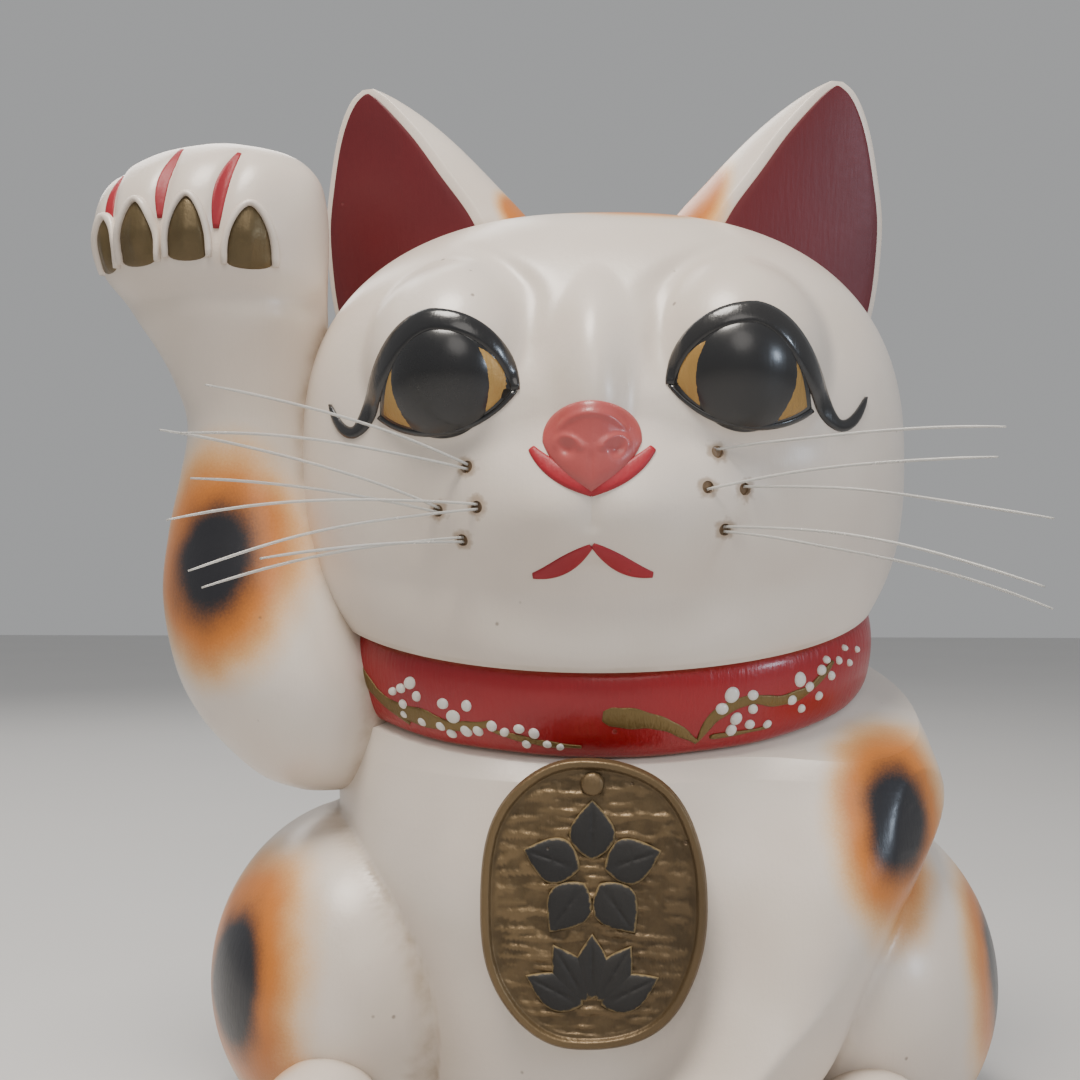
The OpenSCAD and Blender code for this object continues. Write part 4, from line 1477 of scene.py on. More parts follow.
@dataclass
class Figure:
    """The clay members together."""

    neck: Neck
    head: HeadForm
    body: ClayBody
    arm: RaisedArm
    ear: Ear
    tail: Tail
    hole_r: float = 1.6
    holes: tuple[tuple[float, float], ...] = (
        (-31, 180), (-38, 169.5), (-27.5, 170.5), (-31.5, 162.5),
        (31, 183.5), (27.5, 175), (37, 174.5), (31.5, 165))

    def cheek(self, hole: int) -> tuple[np.ndarray, np.ndarray]:
        """Mouth of a whisker hole and the direction of its axis.

        Args:
            hole: Number of the hole.

        Returns:
            The mouth, and the unit direction of the axis.
        """
        x, z = self.holes[hole]
        h, up = self.head, z - self.head.centre[2]
        y = -math.sqrt(max(1.0, h.face_d**2 * (1 - (x / h.half_w) ** 2 - (up / h.chin_h) ** 2)))
        d = unit(np.array([x, y, up]))
        return np.asarray(h.centre) + d * h.reach(d[None])[0], d

    def head_skin(self) -> Surface:
        """The head's skin down to the collar, closed across the neck.

        Returns:
            The closed skin.
        """
        cols = 380
        s, u = np.meshgrid(np.linspace(1, 0.004, 250), np.arange(cols) * TURN / cols, indexing="ij")
        p = self.head.point(u, s)
        n = self.neck
        low = np.stack([n.point(u[0], n.half_w - 1, n.half_d - 1, level) for level in (n.ledge - 3, n.ledge)])
        crease = np.zeros_like(s)
        # The foot of the head, by the collar, carries a light crease mark: dirt and painted shade.
        crease[s > 0.99] = 0.3
        marks = np.concatenate([np.zeros((2, cols)), crease])
        return tube(np.concatenate([low, p]), {"crease": marks})

    def build(self, finishes: dict[str, bpy.types.Material]) -> None:
        """Builds every clay member.

        Args:
            finishes: Materials by their key.
        """
        clay = finishes["glaze"]
        head = make("head_skin", self.head_skin(), clay, "glaze", "head")
        self.drill(head)
        make("body_skin", self.body.skin(), clay, "glaze", "torso", "left_foreleg", "right_haunch",
             "left_haunch")
        make("arm_skin", self.arm.skin(self.head, self.body), clay, "glaze", "raised_right_arm")
        ear = self.ear.skin(self.head)
        make("right_ear_skin", ear, clay, "glaze", "right_ear", smooth_angle=50)
        make("left_ear_skin", mirrored(ear), clay, "glaze", "left_ear", smooth_angle=50)
        lining = self.ear.lining()
        red = finishes["crimson"]
        make("right_ear_field", lining, red, "crimson", "right_ear_lining", smooth_angle=50)
        make("left_ear_field", mirrored(lining), red, "crimson", "left_ear_lining", smooth_angle=50)
        make("right_foot_skin", self.body.foot(RIGHT), clay, "glaze", "right_hind_foot")
        make("left_foot_skin", self.body.foot(LEFT), clay, "glaze", "left_hind_foot")
        make("tail_skin", self.tail.skin(self.body), clay, "glaze", "tail")
        self.paw(finishes)

    def drill_rod(self, hole: int) -> Surface:
        """Rod that cuts one whisker hole, from under the skin to well above it.

        Args:
            hole: Number of the hole.

        Returns:
            The closed rod.
        """
        u = np.arange(20) * TURN / 20
        mouth, d = self.cheek(hole)
        side = unit(np.cross(d, [0, 0, 1.0]))
        up = np.cross(side, d)
        rim = self.hole_r * (np.cos(u)[:, None] * side + np.sin(u)[:, None] * up)
        rings = np.stack([mouth + d * h + rim for h in (-4.4, -1.0, 3.0)])
        return facing(tube(rings), rings[0, 0] - rings[0].mean(0), 0)

    def drill(self, head: bpy.types.Object) -> None:
        """Cuts the whisker holes into the head's skin.

        Args:
            head: The head's skin.
        """
        rods = together(self.drill_rod(hole) for hole in range(len(self.holes)))
        tool = linked("drill_rods", mesh_of("drill_rods", rods))
        cut = head.modifiers.new("holes", "BOOLEAN")
        cut.object, cut.operation, cut.solver = tool, "DIFFERENCE", "EXACT"
        bpy.context.view_layer.update()
        graph = bpy.context.evaluated_depsgraph_get()
        drilled = bpy.data.meshes.new_from_object(head.evaluated_get(graph))
        head.modifiers.clear()
        head.data = drilled
        drilled.set_sharp_from_angle(angle=math.radians(40))
        bpy.data.objects.remove(tool)
        LOG.info("drilled %d whisker holes", len(self.holes))

    def paw(self, finishes: dict[str, bpy.types.Material]) -> None:
        """Claws in their white borders, and the red lines between the toes.

        Args:
            finishes: Materials by their key.
        """
        borders, claws = (together(part) for part in zip(*(self.arm.claw(one) for one in self.arm.claws)))
        lines = together(self.arm.toe_line(gap) for gap in self.arm.toe_gaps)
        make("claw_borders", borders, finishes["glaze"], "glaze")
        make("claws", claws, finishes["claw_gold"], "bronze_gold", "paw_claws")
        make("toe_lines", lines, finishes["red_line"], "red_line", "paw_toe_lines")
        feet = together(self.body.foot_line(side, x) for side in (RIGHT, LEFT) for x in self.body.foot_gaps)
        make("foot_lines", feet, finishes["red_line"], "red_line", "foot_toe_lines")


# ---------------------------------------------------------------- painted face


@dataclass
class Eye:
    """A painted eye on the right side of the face, in x and z."""

    head: HeadForm
    inner: tuple[float, float] = (-19.5, 199.2)
    outer: tuple[float, float] = (-56, 193.5)
    top: tuple[float, float] = (-41, 219.2)
    pupil: tuple[float, float] = (-38.4, 200.8)
    pupil_r: float = 13.4

    def upper(self, drop: float) -> np.ndarray:
        """Upper lid from the inner to the outer corner.

        Args:
            drop: How far the crest lies below the lid's.

        Returns:
            Points of the lid.
        """
        (xi, zi), (xo, zo), (xt, zt) = self.inner, self.outer, self.top
        return joined(bezier([[xi, zi], [xi - 1.5, zi + 12], [xt + 11, zt - drop], [xt, zt - drop]], 22),
                      bezier([[xt, zt - drop], [xt - 10, zt - 2 - drop], [xo + 2, zo + 12], [xo, zo]], 22))

    def lid(self) -> np.ndarray:
        """Middle of the thick upper lid, carried on into the flick past the outer corner.

        Returns:
            Points of the stroke.
        """
        (xi, zi), (xo, zo), (xt, zt) = self.inner, self.outer, self.top
        crest, dip = zt - 2.2, [xo - 3.4, zo + 1.2]
        return joined(bezier([[xi, zi], [xi - 1.5, zi + 11], [xt + 11, crest], [xt, crest]], 24),
                      bezier([[xt, crest], [xt - 9, crest - 1.6], [xo + 1.2, zo + 11], dip], 24),
                      bezier([dip, [xo - 7.4, zo - 7.2], [xo - 12.5, zo - 3.4], [xo - 15.5, zo + 4.6]], 24))

    def lower(self) -> np.ndarray:
        """Lower lid from the outer to the inner corner."""
        (xi, zi), (xo, zo) = self.inner, self.outer
        return bezier([[xo, zo], [xo + 9, zo - 7.5], [xi - 10, zi - 13], [xi, zi]], 30)

    def white(self) -> np.ndarray:
        """The closed lens between the lids."""
        return joined(self.upper(6.5), self.lower())[:-1]

    def pieces(self, side: int, rise: float) -> dict[str, Surface]:
        """Outline strokes, gold lens and glossy pupil of one eye.

        Args:
            side: RIGHT or LEFT.
            rise: Height of this eye over the other.

        Returns:
            The surfaces, by name.
        """
        def lift(x: np.ndarray, z: np.ndarray, h: np.ndarray) -> np.ndarray:
            return self.head.lifted(x * -side, z + rise, h)

        centre = np.asarray(self.pupil) - [0, 1.0]
        black = pad(joined(self.upper(0.6), self.lower())[:-1], centre, lift, 0.35, crown=0.2)
        gold = pad(centre + (self.white() - centre) * 0.92, centre, lift, 0.62, crown=0.2)
        a = np.linspace(0, TURN, 73)[:-1]
        disc = np.asarray(self.pupil) + self.pupil_r * np.stack([np.cos(a), np.sin(a) * 1.01], -1)
        pupil = pad(disc, self.pupil, lift, 1.3, crown=1.2, rings=14)
        lid = self.lid()
        t = np.linspace(0, 1, len(lid))
        swell = np.sin(math.pi * np.clip(t / 0.75, 0, 1)) ** 0.7
        width = (0.9 + 1.5 * swell + 1.5 * t) * (1 - t**3) ** 0.6 + 0.25
        upper = stroke(lid, width, lift, 0.8)
        lower = stroke(self.lower(), np.full(30, 0.65), lift, 0.65)
        return {"outline": black.plus(upper).plus(lower), "gold": gold, "pupil": pupil}


@dataclass
class Face:
    """Everything painted or modelled on the face."""

    head: HeadForm
    nose_at: tuple[float, float] = (0.0, 184.8)
    left_eye_rise: float = 1.2

    def nose(self) -> Surface:
        """A raised pad with an arched ridge and two nostril dimples.

        Returns:
            The pad.
        """
        x, z = self.nose_at
        right = joined(bezier([[0, 11], [8, 11], [13, 7], [12.5, 1]], 18),
                       bezier([[12.5, 1], [10, -6], [3, -10], [0, -12]], 18))
        outline = joined(right, right[::-1] * [-1, 1])[:-1] + [x, z]

        def details(p: np.ndarray) -> np.ndarray:
            dx, dz = np.abs(p[..., 0] - x), p[..., 1] - z
            nostril = -1.0 * bell((dx - 5.6) / 1.7, (dz + 1.5) / 1.5)
            wing = 0.5 * bell((np.hypot(dx - 5.4, dz + 1.2) - 3.1) / 0.9) * smooth((dz + 2.5) / 2)
            arch = 0.45 * bell((np.hypot(dx, dz - 0.5) - 7.6) / 0.9) * smooth((dz - 2) / 3)
            return nostril + wing + arch - 0.35 * bell(dx / 0.8) * smooth((-1 - dz) / 3)

        return pad(outline, (x, z), self.head.lifted, 2.5, crown=0.7, rings=34, edge=0.5, extra=details)

    def fold(self) -> Surface:
        """Two dark red bands under the nose, meeting in a point.

        Returns:
            The bands.
        """
        line = bezier([[-15.2, 184.2], [-11.5, 179.3], [-5, 175.6], [0.2, 172.6]], 24)
        width = 0.6 + 1.6 * np.sin(np.linspace(0.25, 3.0, 24))
        both = stroke(line, width, self.head.lifted, 0.7)
        return both.plus(stroke(line * [-1, 1], width, self.head.lifted, 0.7))

    def lips(self) -> Surface:
        """Two leaf-shaped red strokes.

        Returns:
            The strokes.
        """
        line = bezier([[-0.2, 159.6], [-4.5, 156.4], [-9, 153.0], [-15.2, 152.2]], 24)
        width = 0.4 + 1.75 * np.sin(np.linspace(0.1, 3.0, 24)) ** 0.85
        both = stroke(line, width, self.head.lifted, 0.5)
        return both.plus(stroke(line * [-1, 1] + [0, 0.3], width, self.head.lifted, 0.5))

    def build(self, finishes: dict[str, bpy.types.Material]) -> None:
        """Builds the eyes, nose and mouth.

        Args:
            finishes: Materials by their key.
        """
        right = Eye(self.head).pieces(RIGHT, 0.0)
        left = Eye(self.head).pieces(LEFT, self.left_eye_rise)
        for key, finish, slot, node in (("outline", "black_enamel", "black_enamel", "eye_outlines"),
                                        ("gold", "eye_gold", "eye_gold", "eye_golds"),
                                        ("pupil", "pupil", "black_enamel", "pupils")):
            make(f"right_eye_{key}", right[key], finishes[finish], slot, node)
            make(f"left_eye_{key}", left[key], finishes[finish], slot)
        make("nose_pad", self.nose(), finishes["salmon"], "salmon", "nose")
        make("nose_bands", self.fold(), finishes["red_line"], "red_line", "nose_fold")
        make("lip_strokes", self.lips(), finishes["red_line"], "red_line", "lips")


# ---------------------------------------------------------------- collar and medallion


@dataclass
class Collar:
    """A rounded band in the groove of the neck, with painted branches and raised dots."""

    neck: Neck
    branches: tuple[tuple[tuple[float, float, float], ...], ...] = (
        ((-64, 6, 1.2), (-57, -1, 1.6), (-50, -4.5, 2.1), (-42, -5, 2.4), (-34, -5.5, 1.8), (-24, -3, 1.0)),
        ((-52, -4, 1.2), (-46, -8, 0.6)), ((-24, -5, 0.6), (-12, -7.4, 1.0), (-3, -8, 0.5)),
        ((2, 1, 2.6), (12, -0.5, 2.6), (18, -3, 1.6), (24, -8, 1.0)),
        ((24, -8, 1.0), (28, -1, 1.6), (36, 2, 1.4), (44, 0, 1.4), (52, 1, 1.2), (60, 6, 0.6)),
        ((27, -7, 0.8), (42, -7, 0.4)))
    dots: tuple[tuple[float, float, float], ...] = (
        (-45, 4.2, 1.8), (-47.5, 2, 1.4), (-43, 1, 1.4), (-47, -2.4, 1.3), (-50, 0.4, 1.2), (-42, -6.2, 1.3),
        (-47, -5.4, 1.1), (-36, 0.6, 1.6), (-30, 1.2, 1.5), (-33.5, -2.6, 2), (-37, -6.2, 1.4),
        (-30.5, -6.2, 1.7), (-34.5, -7.9, 1.4), (-27.5, -5.6, 1.5), (-24, -3.6, 1.5), (-21, -5, 1.3),
        (-17.5, -3.6, 1.4), (-14, -4.6, 1.5), (-16, -8, 1.3), (-11, -7.6, 1.2), (-8, -8.2, 1.1),
        (32, 4.2, 2.1), (37, 3.2, 1.5), (29.5, 0.8, 1.7), (33, -2.6, 1.7), (37, -0.6, 1.4), (36.5, -5, 1.4),
        (32, -5.8, 1.6), (41, -6, 1.2), (49.5, 4.4, 2), (47, -0.6, 1.5), (52, 1.6, 1.4), (50, -4, 1.2),
        (55, -2, 1.2), (56, 5, 1.5), (59, 2.4, 1.3), (58, 7.2, 1.1), (62, 5.6, 1.1), (66, 3.4, 1),
        (65, 8, 0.9), (70, 5.6, 0.9))

    def bulge(self, level: np.ndarray) -> np.ndarray:
        """How far the band's outside stands off the neck at a level.

        Args:
            level: Level along the neck.

        Returns:
            Distances.
        """
        half = self.neck.band_h / 2
        share = np.sqrt(np.maximum(1 - (level / half) ** 2, 0))
        return self.neck.band_t * (0.45 + 0.55 * share**0.8)

    def lift(self, turn: np.ndarray, level: np.ndarray, rise: np.ndarray) -> np.ndarray:
        """Points over the band at a turn in degrees from the front.

        Args:
            turn: Turn from the front, in degrees.
            level: Level along the band.
            rise: Height over the surface.

        Returns:
            Points.
        """
        a = np.radians(turn)
        out = self.bulge(level) + rise
        w, d = self.neck.half_w + out, self.neck.half_d + out
        r = 1 / np.sqrt((np.sin(a) / w) ** 2 + (np.cos(a) / d) ** 2)
        flat = np.stack([r * np.sin(a), -r * np.cos(a), level + 0 * a], -1)
        return np.asarray(self.neck.centre) + self.neck.lean(flat)

    def degree(self, turn: float) -> float:
        """Length of one degree round the band, in millimetres."""
        at = self.lift(np.array([turn - 0.5, turn + 0.5]), np.zeros(2), np.zeros(2))
        return float(np.linalg.norm(at[1] - at[0]))

    def band(self) -> Surface:
        """The band itself, slightly uneven along its edges.

        Returns:
            The band.
        """
        cols, half = 420, self.neck.band_h / 2
        u = np.arange(cols) * TURN / cols
        rows = []
        for a in np.linspace(-math.pi / 2, math.pi / 2, 26):
            level = half * math.sin(a) * np.ones(cols)
            at = self.neck.point(u, self.neck.half_w, self.neck.half_d, level)
            level = level + 0.35 * abs(math.sin(a)) ** 3 * wave_noise(at, 26.0, 5)
            out = self.bulge(half * math.sin(a)) + 0.12 * wave_noise(at, 18.0, 6)
            rows.append(self.neck.point(u, self.neck.half_w + out, self.neck.half_d + out, level))
        for level in (half - 0.4, -half + 0.4):
            rows.append(self.neck.point(u, self.neck.half_w, self.neck.half_d, np.full(cols, level)))
        # The band's edges, where it meets the neck, carry the crease mark: dirt and painted shade.
        a = np.abs(np.sin(np.linspace(-math.pi / 2, math.pi / 2, 26)))
        edge = np.concatenate([a, [1, 1]])[:, None] * np.ones(cols)
        return ring(np.stack(rows), {"crease": smooth((edge - 0.86) / 0.14) * 0.8})

    def branch(self, points: tuple[Place, ...]) -> Surface:
        """One ragged stroke of gold paint along its turns, levels and half widths.

        Args:
            points: Its turns, levels and half widths.

        Returns:
            The stroke.
        """
        t = np.linspace(0, 1, 10 * len(points))
        line = rows_at(points, t)
        ragged = 1 + 0.25 * wave_noise(line * [1.2, 1, 1], 9.0, 11)
        scale = float(np.array([self.degree(float(turn)) for turn in line[:, 0]]).mean())

        def lift(x: np.ndarray, y: np.ndarray, h: np.ndarray) -> np.ndarray:
            return self.lift(x / scale, y, h)

        width = line[:, 2] * ragged * np.minimum(1, 6 * (t + 0.08))
        return stroke(line[:, :2] * [scale, 1], width, lift, 0.4, across=9)

    def blossom(self, turn: float, level: float, radius: float, phase: float) -> Surface:
        """One raised dot of enamel, a little out of round.

        Args:
            turn: Turn from the front, in degrees.
            level: Level along the neck.
            radius: Radius of the dot.
            phase: Phase of its unevenness.

        Returns:
            The dot.
        """
        a = np.linspace(0, TURN, 25)[:-1]
        k = self.degree(turn)
        wobble = radius * (1 + 0.06 * np.sin(2 * a + phase))
        outline = np.stack([turn + wobble * np.cos(a) / k, level + wobble * np.sin(a)], -1)
        return pad(outline, (turn, level), self.lift, 1.05, crown=0.9, rings=8)

    def build(self, finishes: dict[str, bpy.types.Material]) -> None:
        """Builds the band, its branches and its dots.

        Args:
            finishes: Materials by their key.
        """
        rng = np.random.default_rng(3)
        make("collar_band", self.band(), finishes["collar_red"], "collar_red", "collar")
        branches = together(self.branch(points) for points in self.branches)
        dots = together(self.blossom(*dot, rng.uniform(0, TURN)) for dot in self.dots)
        make("branches", branches, finishes["old_gold"], "old_gold", "collar_branches")
        make("blossom_dots", dots, finishes["white_enamel"], "white_enamel", "collar_blossoms")


@dataclass
class Medallion:
    """An oval plaque with a raised rim, a hammered field and a sprig in black enamel."""

    width: float = 57.0
    height: float = 72.0
    field_t: float = 4.0
    rim: float = 2.6
    rim_h: float = 1.2
    centre: tuple[float, float, float] = (0.0, -75.5, 70.2)
    tilt: float = math.radians(-4)

    def out(self, x: np.ndarray, y: np.ndarray, z: np.ndarray) -> np.ndarray:
        """Points of the plaque's own frame, with z out of the chest.

        Args:
            x: Sideways place.
            y: Height on the plaque.
            z: Height out of the plaque.

        Returns:
            Points.
        """
        c, s = math.cos(math.pi / 2 + self.tilt), math.sin(math.pi / 2 + self.tilt)
        x, y, z = np.broadcast_arrays(x, y, z)
        return np.stack([x, y * c - z * s, y * s + z * c], -1) + np.asarray(self.centre)

    def lift(self, x: np.ndarray, y: np.ndarray, rise: np.ndarray) -> np.ndarray:
        """Points over the field."""
        return self.out(x, y, self.field_t + rise)

    def outline(self, count: int, inset: float = 0.0) -> np.ndarray:
        """Oval x = w/2 cos^0.86, y = h/2 sin^0.86, a little uneven.

        Args:
            count: Number of points.
            inset: Distance inside the edge.

        Returns:
            The outline.
        """
        u = np.arange(count) * TURN / count
        c, s = np.cos(u), np.sin(u)
        uneven = 1 + 0.006 * np.sin(3 * u + 1) + 0.005 * np.sin(7 * u + 2)
        x = (self.width / 2 - inset) * np.sign(c) * np.abs(c) ** 0.86
        y = (self.height / 2 - inset) * np.sign(s) * np.abs(s) ** 0.86
        return np.stack([x, y], -1) * uneven[:, None]

    def plaque(self) -> Surface:
        """The plaque: hammered field, rounded rim and sides.

        Returns:
            The plaque.
        """
        cols = 260
        edge = self.outline(cols)
        shares = np.concatenate([np.linspace(0.02, 0.88, 90), np.linspace(0.885, 1.0, 34)])
        flat = shares[:, None, None] * edge[None]
        x, y = flat[..., 0], flat[..., 1]
        inward = (1 - shares)[:, None] * np.linalg.norm(edge, axis=-1)[None]
        rim = self.rim_h * np.exp(-(((inward - 1.5) / 1.15) ** 4))
        seen = np.stack([x * 0.55, y * 2.1, 0 * x], -1)
        dash = np.maximum(0, wave_noise(seen, 5.5, 21, 24)) ** 0.7 * 0.55
        pits = 0.16 * wave_noise(np.stack([x, y, 0 * x], -1), 2.2, 22, 20)
        inside = smooth((inward - 3.0) / 1.6)
        waver = 0.1 * wave_noise(np.stack([x, y, 0 * x], -1), 9.0, 23)
        z = self.field_t + rim + inside * (dash + pits - 0.35) + waver
        z = np.where(shares[:, None] > 0.985, z - (shares[:, None] - 0.985) / 0.015 * 0.9, z)
        top = self.out(x, y, z)
        side = [self.out(edge[:, 0] * k, edge[:, 1] * k, np.full(cols, h))
                for k, h in ((1.0, self.field_t - 1.2), (0.995, 0.0), (0.99, -6.0))]
        grid = np.concatenate([np.stack(side[::-1]), top[::-1]])
        # The hollows of the hammered field, the gutter inside the rim and the sides carry the crease mark:
        # tarnish and painted shade.
        gutter = 0.9 * bell((inward - 3.3) / 0.8)
        hollows = inside * smooth((0.25 - dash) / 0.25) + gutter
        soil_and_shade = np.concatenate([np.ones((3, cols)) * 0.3, hollows[::-1]])
        return facing(tube(grid, {"crease": np.clip(soil_and_shade, 0, 1)}), np.array([0, -1.0, 0]), -1)

    def boss(self) -> Surface:
        """The small boss at the top, where a cord's knot would sit.

        Returns:
            The boss.
        """
        a = np.linspace(0, TURN, 41)[:-1]
        at = (0.0, self.height / 2 - 6.5)
        outline = np.stack([at[0] + 3 * np.cos(a), at[1] + 3 * np.sin(a)], -1)
        return pad(outline, at, self.lift, 1.8, crown=0.4, rings=12)

    def petal(self, at: tuple[float, float], angle: float, start: float, length: float,
              half: float) -> Surface:
        """One raised petal or leaf: half width half * sin(pi t^0.8) along its length.

        Args:
            at: Where it grows from.
            angle: Its heading, in radians.
            start: Distance of its foot from there.
            length: Its length.
            half: Its half width.

        Returns:
            The petal.
        """
        t = np.linspace(0, 1, 24)
        w = half * np.sin(math.pi * t**0.8)
        side = np.stack([start + length * t, w], -1)
        outline = joined(side, side[::-1] * [1, -1])[:-1]
        c, s = math.cos(angle), math.sin(angle)
        turn = np.array([[c, s], [-s, c]])
        middle = np.array([start + length * 0.48, 0.0]) @ turn + at

        def vein(p: np.ndarray) -> np.ndarray:
            q = (p - at) @ turn.T
            return -0.35 * bell(q[..., 1] / 0.5) * smooth((q[..., 0] - start) / 3)

        return pad(outline @ turn + at, middle, self.lift, 1.25, crown=0.35, rings=12, extra=vein)

    def sprig(self) -> Surface:
        """A five-petalled blossom over a fan of leaves.

        Returns:
            The blossom and its leaves.
        """
        up, fifth = math.pi / 2, TURN / 5
        petals = [self.petal((0, 7.5), up + fifth * i, 3.2, 15, 5.8) for i in range(5)]
        leaves = [self.petal((0, -26), up + math.radians(a), 2.5, 16, 4.6) for a in (-64, -32, 0, 32, 64)]
        return together(petals + leaves)

    def build(self, finishes: dict[str, bpy.types.Material]) -> None:
        """Builds the plaque, its boss and its sprig.

        Args:
            finishes: Materials by their key.
        """
        make("plaque", self.plaque(), finishes["bronze_gold"], "bronze_gold", "medallion", smooth_angle=60)
        make("plaque_boss", self.boss(), finishes["bronze_gold"], "bronze_gold", "medallion_boss")
        make("sprig", self.sprig(), finishes["relief_black"], "black_enamel", "medallion_sprig")


# ---------------------------------------------------------------- whiskers and base


@dataclass(frozen=True)
class Bristle:
    """A whisker: its hole, heading and rise in degrees, length and radius of the bend."""

    hole: int
    heading: float
    rise: float
    length: float
    bend: float


@dataclass
class Whiskers:
    """Two bunches of nylon bristles in the holes of the cheeks."""

    figure: Figure
    right: tuple[Bristle, ...] = (
        Bristle(0, 61, 22, 70, 260), Bristle(0, 61, 12, 74, 320), Bristle(1, 62, 22, 74, 260),
        Bristle(1, 65, 13, 64, 300), Bristle(2, 66, 4, 78, 300), Bristle(2, 68, -5, 74, 300),
        Bristle(3, 64, -4, 68, 300), Bristle(3, 46, 0, 60, 400))
    left: tuple[Bristle, ...] = (
        Bristle(4, 68, 8, 72, 400), Bristle(5, 69, 11, 72, 340), Bristle(6, 63, -1, 78, 400),
        Bristle(7, 64, -5, 84, 300), Bristle(7, 62, -1, 82, 260))
    radius: float = 0.38
    glue_depth: float = 1.0
    root_step: float = 1.2

    def bristle(self, one: Bristle, side: int, turn: int) -> Surface:
        """One bristle along a circular arc, with a slight tremble and a tapered tip.

        Args:
            one: The one to build.
            side: RIGHT or LEFT.
            turn: Its number in the bunch.

        Returns:
            The bristle.
        """
        mouth, d = self.figure.cheek(one.hole)
        root = mouth - (self.glue_depth - self.radius) * d + [0, 0, (0.5 - turn % 2) * self.root_step]
        t = np.linspace(0, one.length / one.bend, 60)
        forward, down = one.bend * np.sin(t), -one.bend * (1 - np.cos(t))
        p, h = math.radians(one.rise), math.radians(-90 + side * one.heading)
        f = forward * math.cos(p) - down * math.sin(p)
        z = forward * math.sin(p) + down * math.cos(p)
        path = root + np.stack([f * math.cos(h), f * math.sin(h), z], -1)
        shake = smooth(t * one.bend / 30)[:, None]
        wave = np.stack([wave_noise(path * 0.5, 40.0, 40 + turn * 3 + k + side) for k in range(3)], -1)
        path = path + 0.5 * shake * wave * [0.2, 0.2, 1.0]
        along = unit(np.gradient(path, axis=0))
        across = unit(np.cross(along, [0, 0, 1.0]))
        up = np.cross(across, along)
        u = np.arange(10) * TURN / 10
        r = self.radius * (1 - 0.35 * smooth((t / t[-1] - 0.85) / 0.15))
        rim = np.cos(u)[None, :, None] * across[:, None] + np.sin(u)[None, :, None] * up[:, None]
        grid = path[:, None] + r[:, None, None] * rim
        return facing(tube(grid), grid[0, 0] - path[0], 0)

    def build(self, finishes: dict[str, bpy.types.Material]) -> None:
        """Builds both bunches.

        Args:
            finishes: Materials by their key.
        """
        for name, rows, side in (("right_whiskers", self.right, RIGHT), ("left_whiskers", self.left, LEFT)):
            bunch = together(self.bristle(one, side, turn) for turn, one in enumerate(rows))
            make(f"{name}_nylon", bunch, finishes["nylon"], "nylon", name)


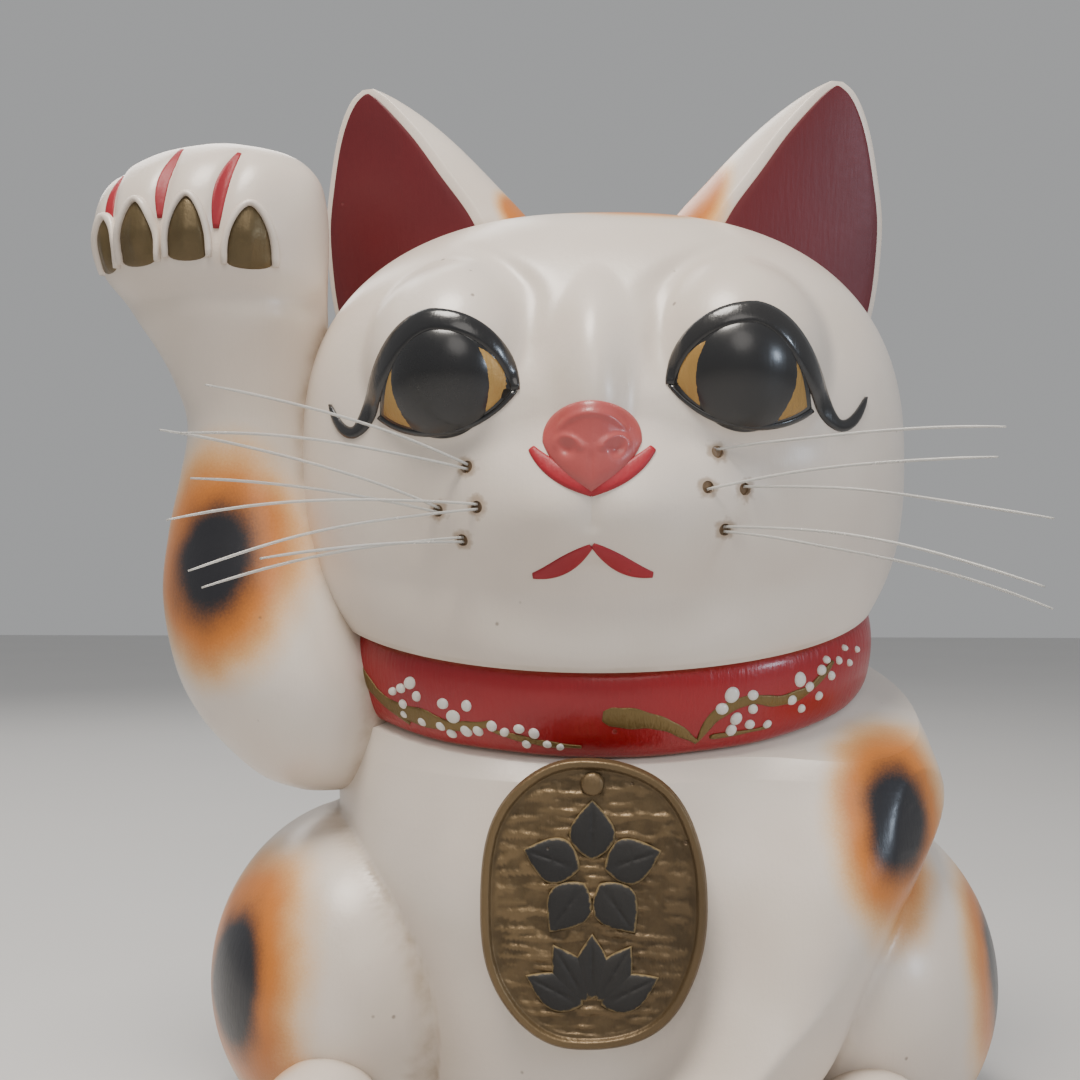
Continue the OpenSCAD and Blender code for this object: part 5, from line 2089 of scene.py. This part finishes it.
class Palette:
    """The finishes of the figure, each built from the shared groups."""

    SPOTS = (
        Oval((-106, -44, 156), (27, 46, 34), 0.5),
        Oval((78, -56, 87), (19.5, 40, 32), 0.47),
        Oval((-98, -42, 41), (27, 42, 40), 0.46),
        Oval((110, -20, 42), (19, 36, 34), 0.45),
        Oval((12, -18, 260), (25, 26, 14), 0.0),
        Oval((27, 2, 264), (14, 18, 18), 0.0),
        Oval((20.5, -12, 257), (6, 12, 6), 0.8),
        Oval((-22, 2, 262), (10, 14, 12), 0.0),
        Oval((38, 74, 92), (30, 34, 34), 0.45),
        Oval((-22, 82, 70), (22, 22, 20), 0.7),
    )

    def __init__(self, figure: Figure) -> None:
        """Lists the finishes.

        Args:
            figure: The figure to be painted, whose holes are stained with glue.
        """
        self.groups = {"airbrush": airbrush_group(), "aged": aged_group(), "stain": stain_group()}
        mouths = tuple(tuple(float(v) for v in figure.cheek(i)[0]) for i in range(len(figure.holes)))
        self.paints = {
            "glaze": Paint("Pearl white paint", (0.8, 0.715, 0.63), (0.69, 0.6, 0.515), 0.36, coat=0.3,
                           coat_roughness=0.24, bump=0.2, brush=0.4, ovals=self.SPOTS, stains=mouths),
            "crimson": Paint("Crimson field", (0.125, 0.008, 0.012), (0.095, 0.006, 0.01), 0.45,
                             bump=0.14, brush=0.7, speck=(0.3, 0.1, 0.1), speck_share=0.2),
            "collar_red": Paint("Collar red", (0.37, 0.005, 0.01), (0.27, 0.004, 0.009), 0.36,
                                coat=0.3, bump=0.4, brush=0.9, speck_share=0.25),
            "red_line": Paint("Red brush line", (0.4, 0.016, 0.027), (0.29, 0.011, 0.02), 0.48,
                              bump=0.4),
            "salmon": Paint("Salmon nose", (0.46, 0.09, 0.085), (0.38, 0.065, 0.06), 0.38,
                            coat=0.3, bump=0.3, speck=(0.7, 0.6, 0.55), speck_share=0.5),
            "old_gold": Paint("Olive gold branch", (0.22, 0.145, 0.05), (0.13, 0.085, 0.03), 0.38,
                              metallic=0.45, bump=0.6, brush=1.0),
            "claw_gold": Paint("Bronze claw", (0.21, 0.15, 0.07), (0.11, 0.08, 0.04), 0.36,
                               metallic=0.6, bump=0.5),
            "bronze_gold": Paint("Olive bronze plaque", (0.2, 0.135, 0.065), (0.12, 0.08, 0.04), 0.4,
                                 metallic=0.55, bump=0.5, brush=0.6),
            "eye_gold": Paint("Eye gold", (0.5, 0.31, 0.095), (0.3, 0.16, 0.04), 0.4,
                              metallic=0.25, bump=0.5, brush=1.2),
            "black_enamel": Paint("Black enamel", (0.012, 0.012, 0.013), (0.018, 0.017, 0.017), 0.24,
                                  coat=0.5, bump=0.25, speck=(0.6, 0.55, 0.5), speck_share=0.7),
            "pupil": Paint("Pupil enamel", (0.01, 0.01, 0.011), (0.014, 0.014, 0.015), 0.3, coat=0.4,
                           coat_roughness=0.2, bump=0.12, speck=(0.4, 0.38, 0.35), speck_share=0.35),
            "relief_black": Paint("Relief black", (0.011, 0.01, 0.01), (0.017, 0.015, 0.013), 0.6,
                                  bump=0.5, worn=(0.2, 0.14, 0.06)),
            "white_enamel": Paint("White enamel", (0.8, 0.78, 0.72), (0.7, 0.66, 0.6), 0.3,
                                  coat=0.3, bump=0.2),
            "glue": Paint("Brown glue", (0.3, 0.2, 0.11), (0.12, 0.07, 0.035), 0.3, bump=0.6),
            "nylon": Paint("Clear nylon", (0.85, 0.84, 0.8), (0.75, 0.74, 0.7), 0.24, bump=0.1,
                           transmission=0.45, speck_share=0.0),
            "rubber": Paint("Grey rubber", (0.05, 0.05, 0.053), (0.032, 0.032, 0.034), 0.62, bump=0.5),
        }

    def build(self) -> dict[str, bpy.types.Material]:
        """Makes every material."""
        return {key: paint.build(self.groups) for key, paint in self.paints.items()}


@dataclass(frozen=True)
class Lamp:
    """A soft round light, in metres and watts."""

    name: str
    at: Place
    size: float
    power: float
    colour: Colour

    def build(self, aim: Place) -> None:
        """Hangs the lamp, turned to the place it is aimed at.

        Args:
            aim: The place it lights.
        """
        data = bpy.data.lights.new(self.name, "AREA")
        data.shape, data.size, data.energy, data.color = "DISK", self.size, self.power, self.colour
        obj = linked(self.name, data)
        obj.location = self.at
        obj.rotation_euler = (Vector(aim) - Vector(self.at)).to_track_quat("-Z", "Y").to_euler()


@dataclass
class Studio:
    """Pale floor, soft lights and the camera, in metres."""

    aim: Place = (0.0, 0.0, 0.15)
    lamps: tuple[Lamp, ...] = (
        Lamp("ceiling", (-0.15, -0.35, 1.1), 0.45, 13.0, (1.0, 0.94, 0.86)),
        Lamp("front", (0.25, -1.3, 1.0), 0.8, 3.5, (1.0, 0.95, 0.9)),
        Lamp("window", (0.95, -0.5, 0.4), 0.16, 2.2, (0.7, 0.83, 1.0)),
        Lamp("rear", (-0.5, 0.9, 0.9), 0.8, 6.0, (1.0, 0.97, 0.93)))
    sky: tuple[float, ...] = (0.9, 0.91, 0.92, 1)
    sky_strength: float = 0.42
    floor_half: float = 3.0
    floor_drop: float = 0.0002
    camera_at: tuple[float, float, float] = (0.0138, -0.505, 0.156)
    yaw: float = math.atan2(0.063, 0.998)
    pitch: float = math.radians(0.7)
    lens: float = 56.67

    def floor(self) -> None:
        """A wide, plain, pale floor just under the base."""
        mesh = bpy.data.meshes.new("floor")
        w = self.floor_half
        mesh.from_pydata([(-w, -w, 0), (w, -w, 0), (w, w, 0), (-w, w, 0)], [], [(0, 1, 2, 3)])
        obj = linked("floor", mesh)
        obj.location.z = -self.floor_drop
        material = bpy.data.materials.new("Pale floor")
        material.use_nodes = True
        tree = Tree(material.node_tree)
        shader = material.node_tree.nodes["Principled BSDF"]
        where = tree.add("ShaderNodeTexCoord").outputs["Object"]
        tone = tree.mix(tree.noise(where, 3.0), (0.62, 0.61, 0.6), (0.56, 0.55, 0.54))
        tree.feed(shader.inputs["Base Color"], tone)
        shader.inputs["Roughness"].default_value = 0.45
        mesh.materials.append(material)

    def build(self) -> None:
        """Sets the whole stage."""
        self.floor()
        for lamp in self.lamps:
            lamp.build(self.aim)
        world = bpy.data.worlds.new("room")
        bpy.context.scene.world = world
        world.use_nodes = True
        sky = world.node_tree.nodes["Background"]
        sky.inputs["Color"].default_value = self.sky
        sky.inputs["Strength"].default_value = self.sky_strength
        data = bpy.data.cameras.new("camera")
        data.lens, data.sensor_width, data.clip_start = self.lens, 36.0, 0.01
        camera = linked("camera", data)
        camera.location = self.camera_at
        camera.rotation_euler = (math.pi / 2 + self.pitch, 0.0, self.yaw)
        bpy.context.scene.camera = camera


def dress_cad(finishes: dict[str, bpy.types.Material]) -> None:
    """Gives the CAD nodes that stay in view their finishes.

    Args:
        finishes: Materials by their key.
    """
    for node, key in (("base_plate", "glaze"), ("stopper", "rubber"), ("whisker_glue", "glue")):
        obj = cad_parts[node]
        obj.data.materials.clear()
        obj.data.materials.append(finishes[key])
        LOG.info("%s keeps its CAD shape", node)


def main() -> None:
    """Builds the figure, sub-assembly by sub-assembly, and its stage."""
    logging.basicConfig(level=logging.INFO, format="%(name)s: %(message)s")
    neck = Neck()
    head = HeadForm(neck)
    figure = Figure(neck, head, ClayBody(neck), RaisedArm(), Ear(), Tail())
    finishes = Palette(figure).build()
    figure.build(finishes)
    Face(head).build(finishes)
    Collar(neck).build(finishes)
    Medallion().build(finishes)
    Whiskers(figure).build(finishes)
    dress_cad(finishes)
    Studio().build()


if __name__ == "__main__":
    main()
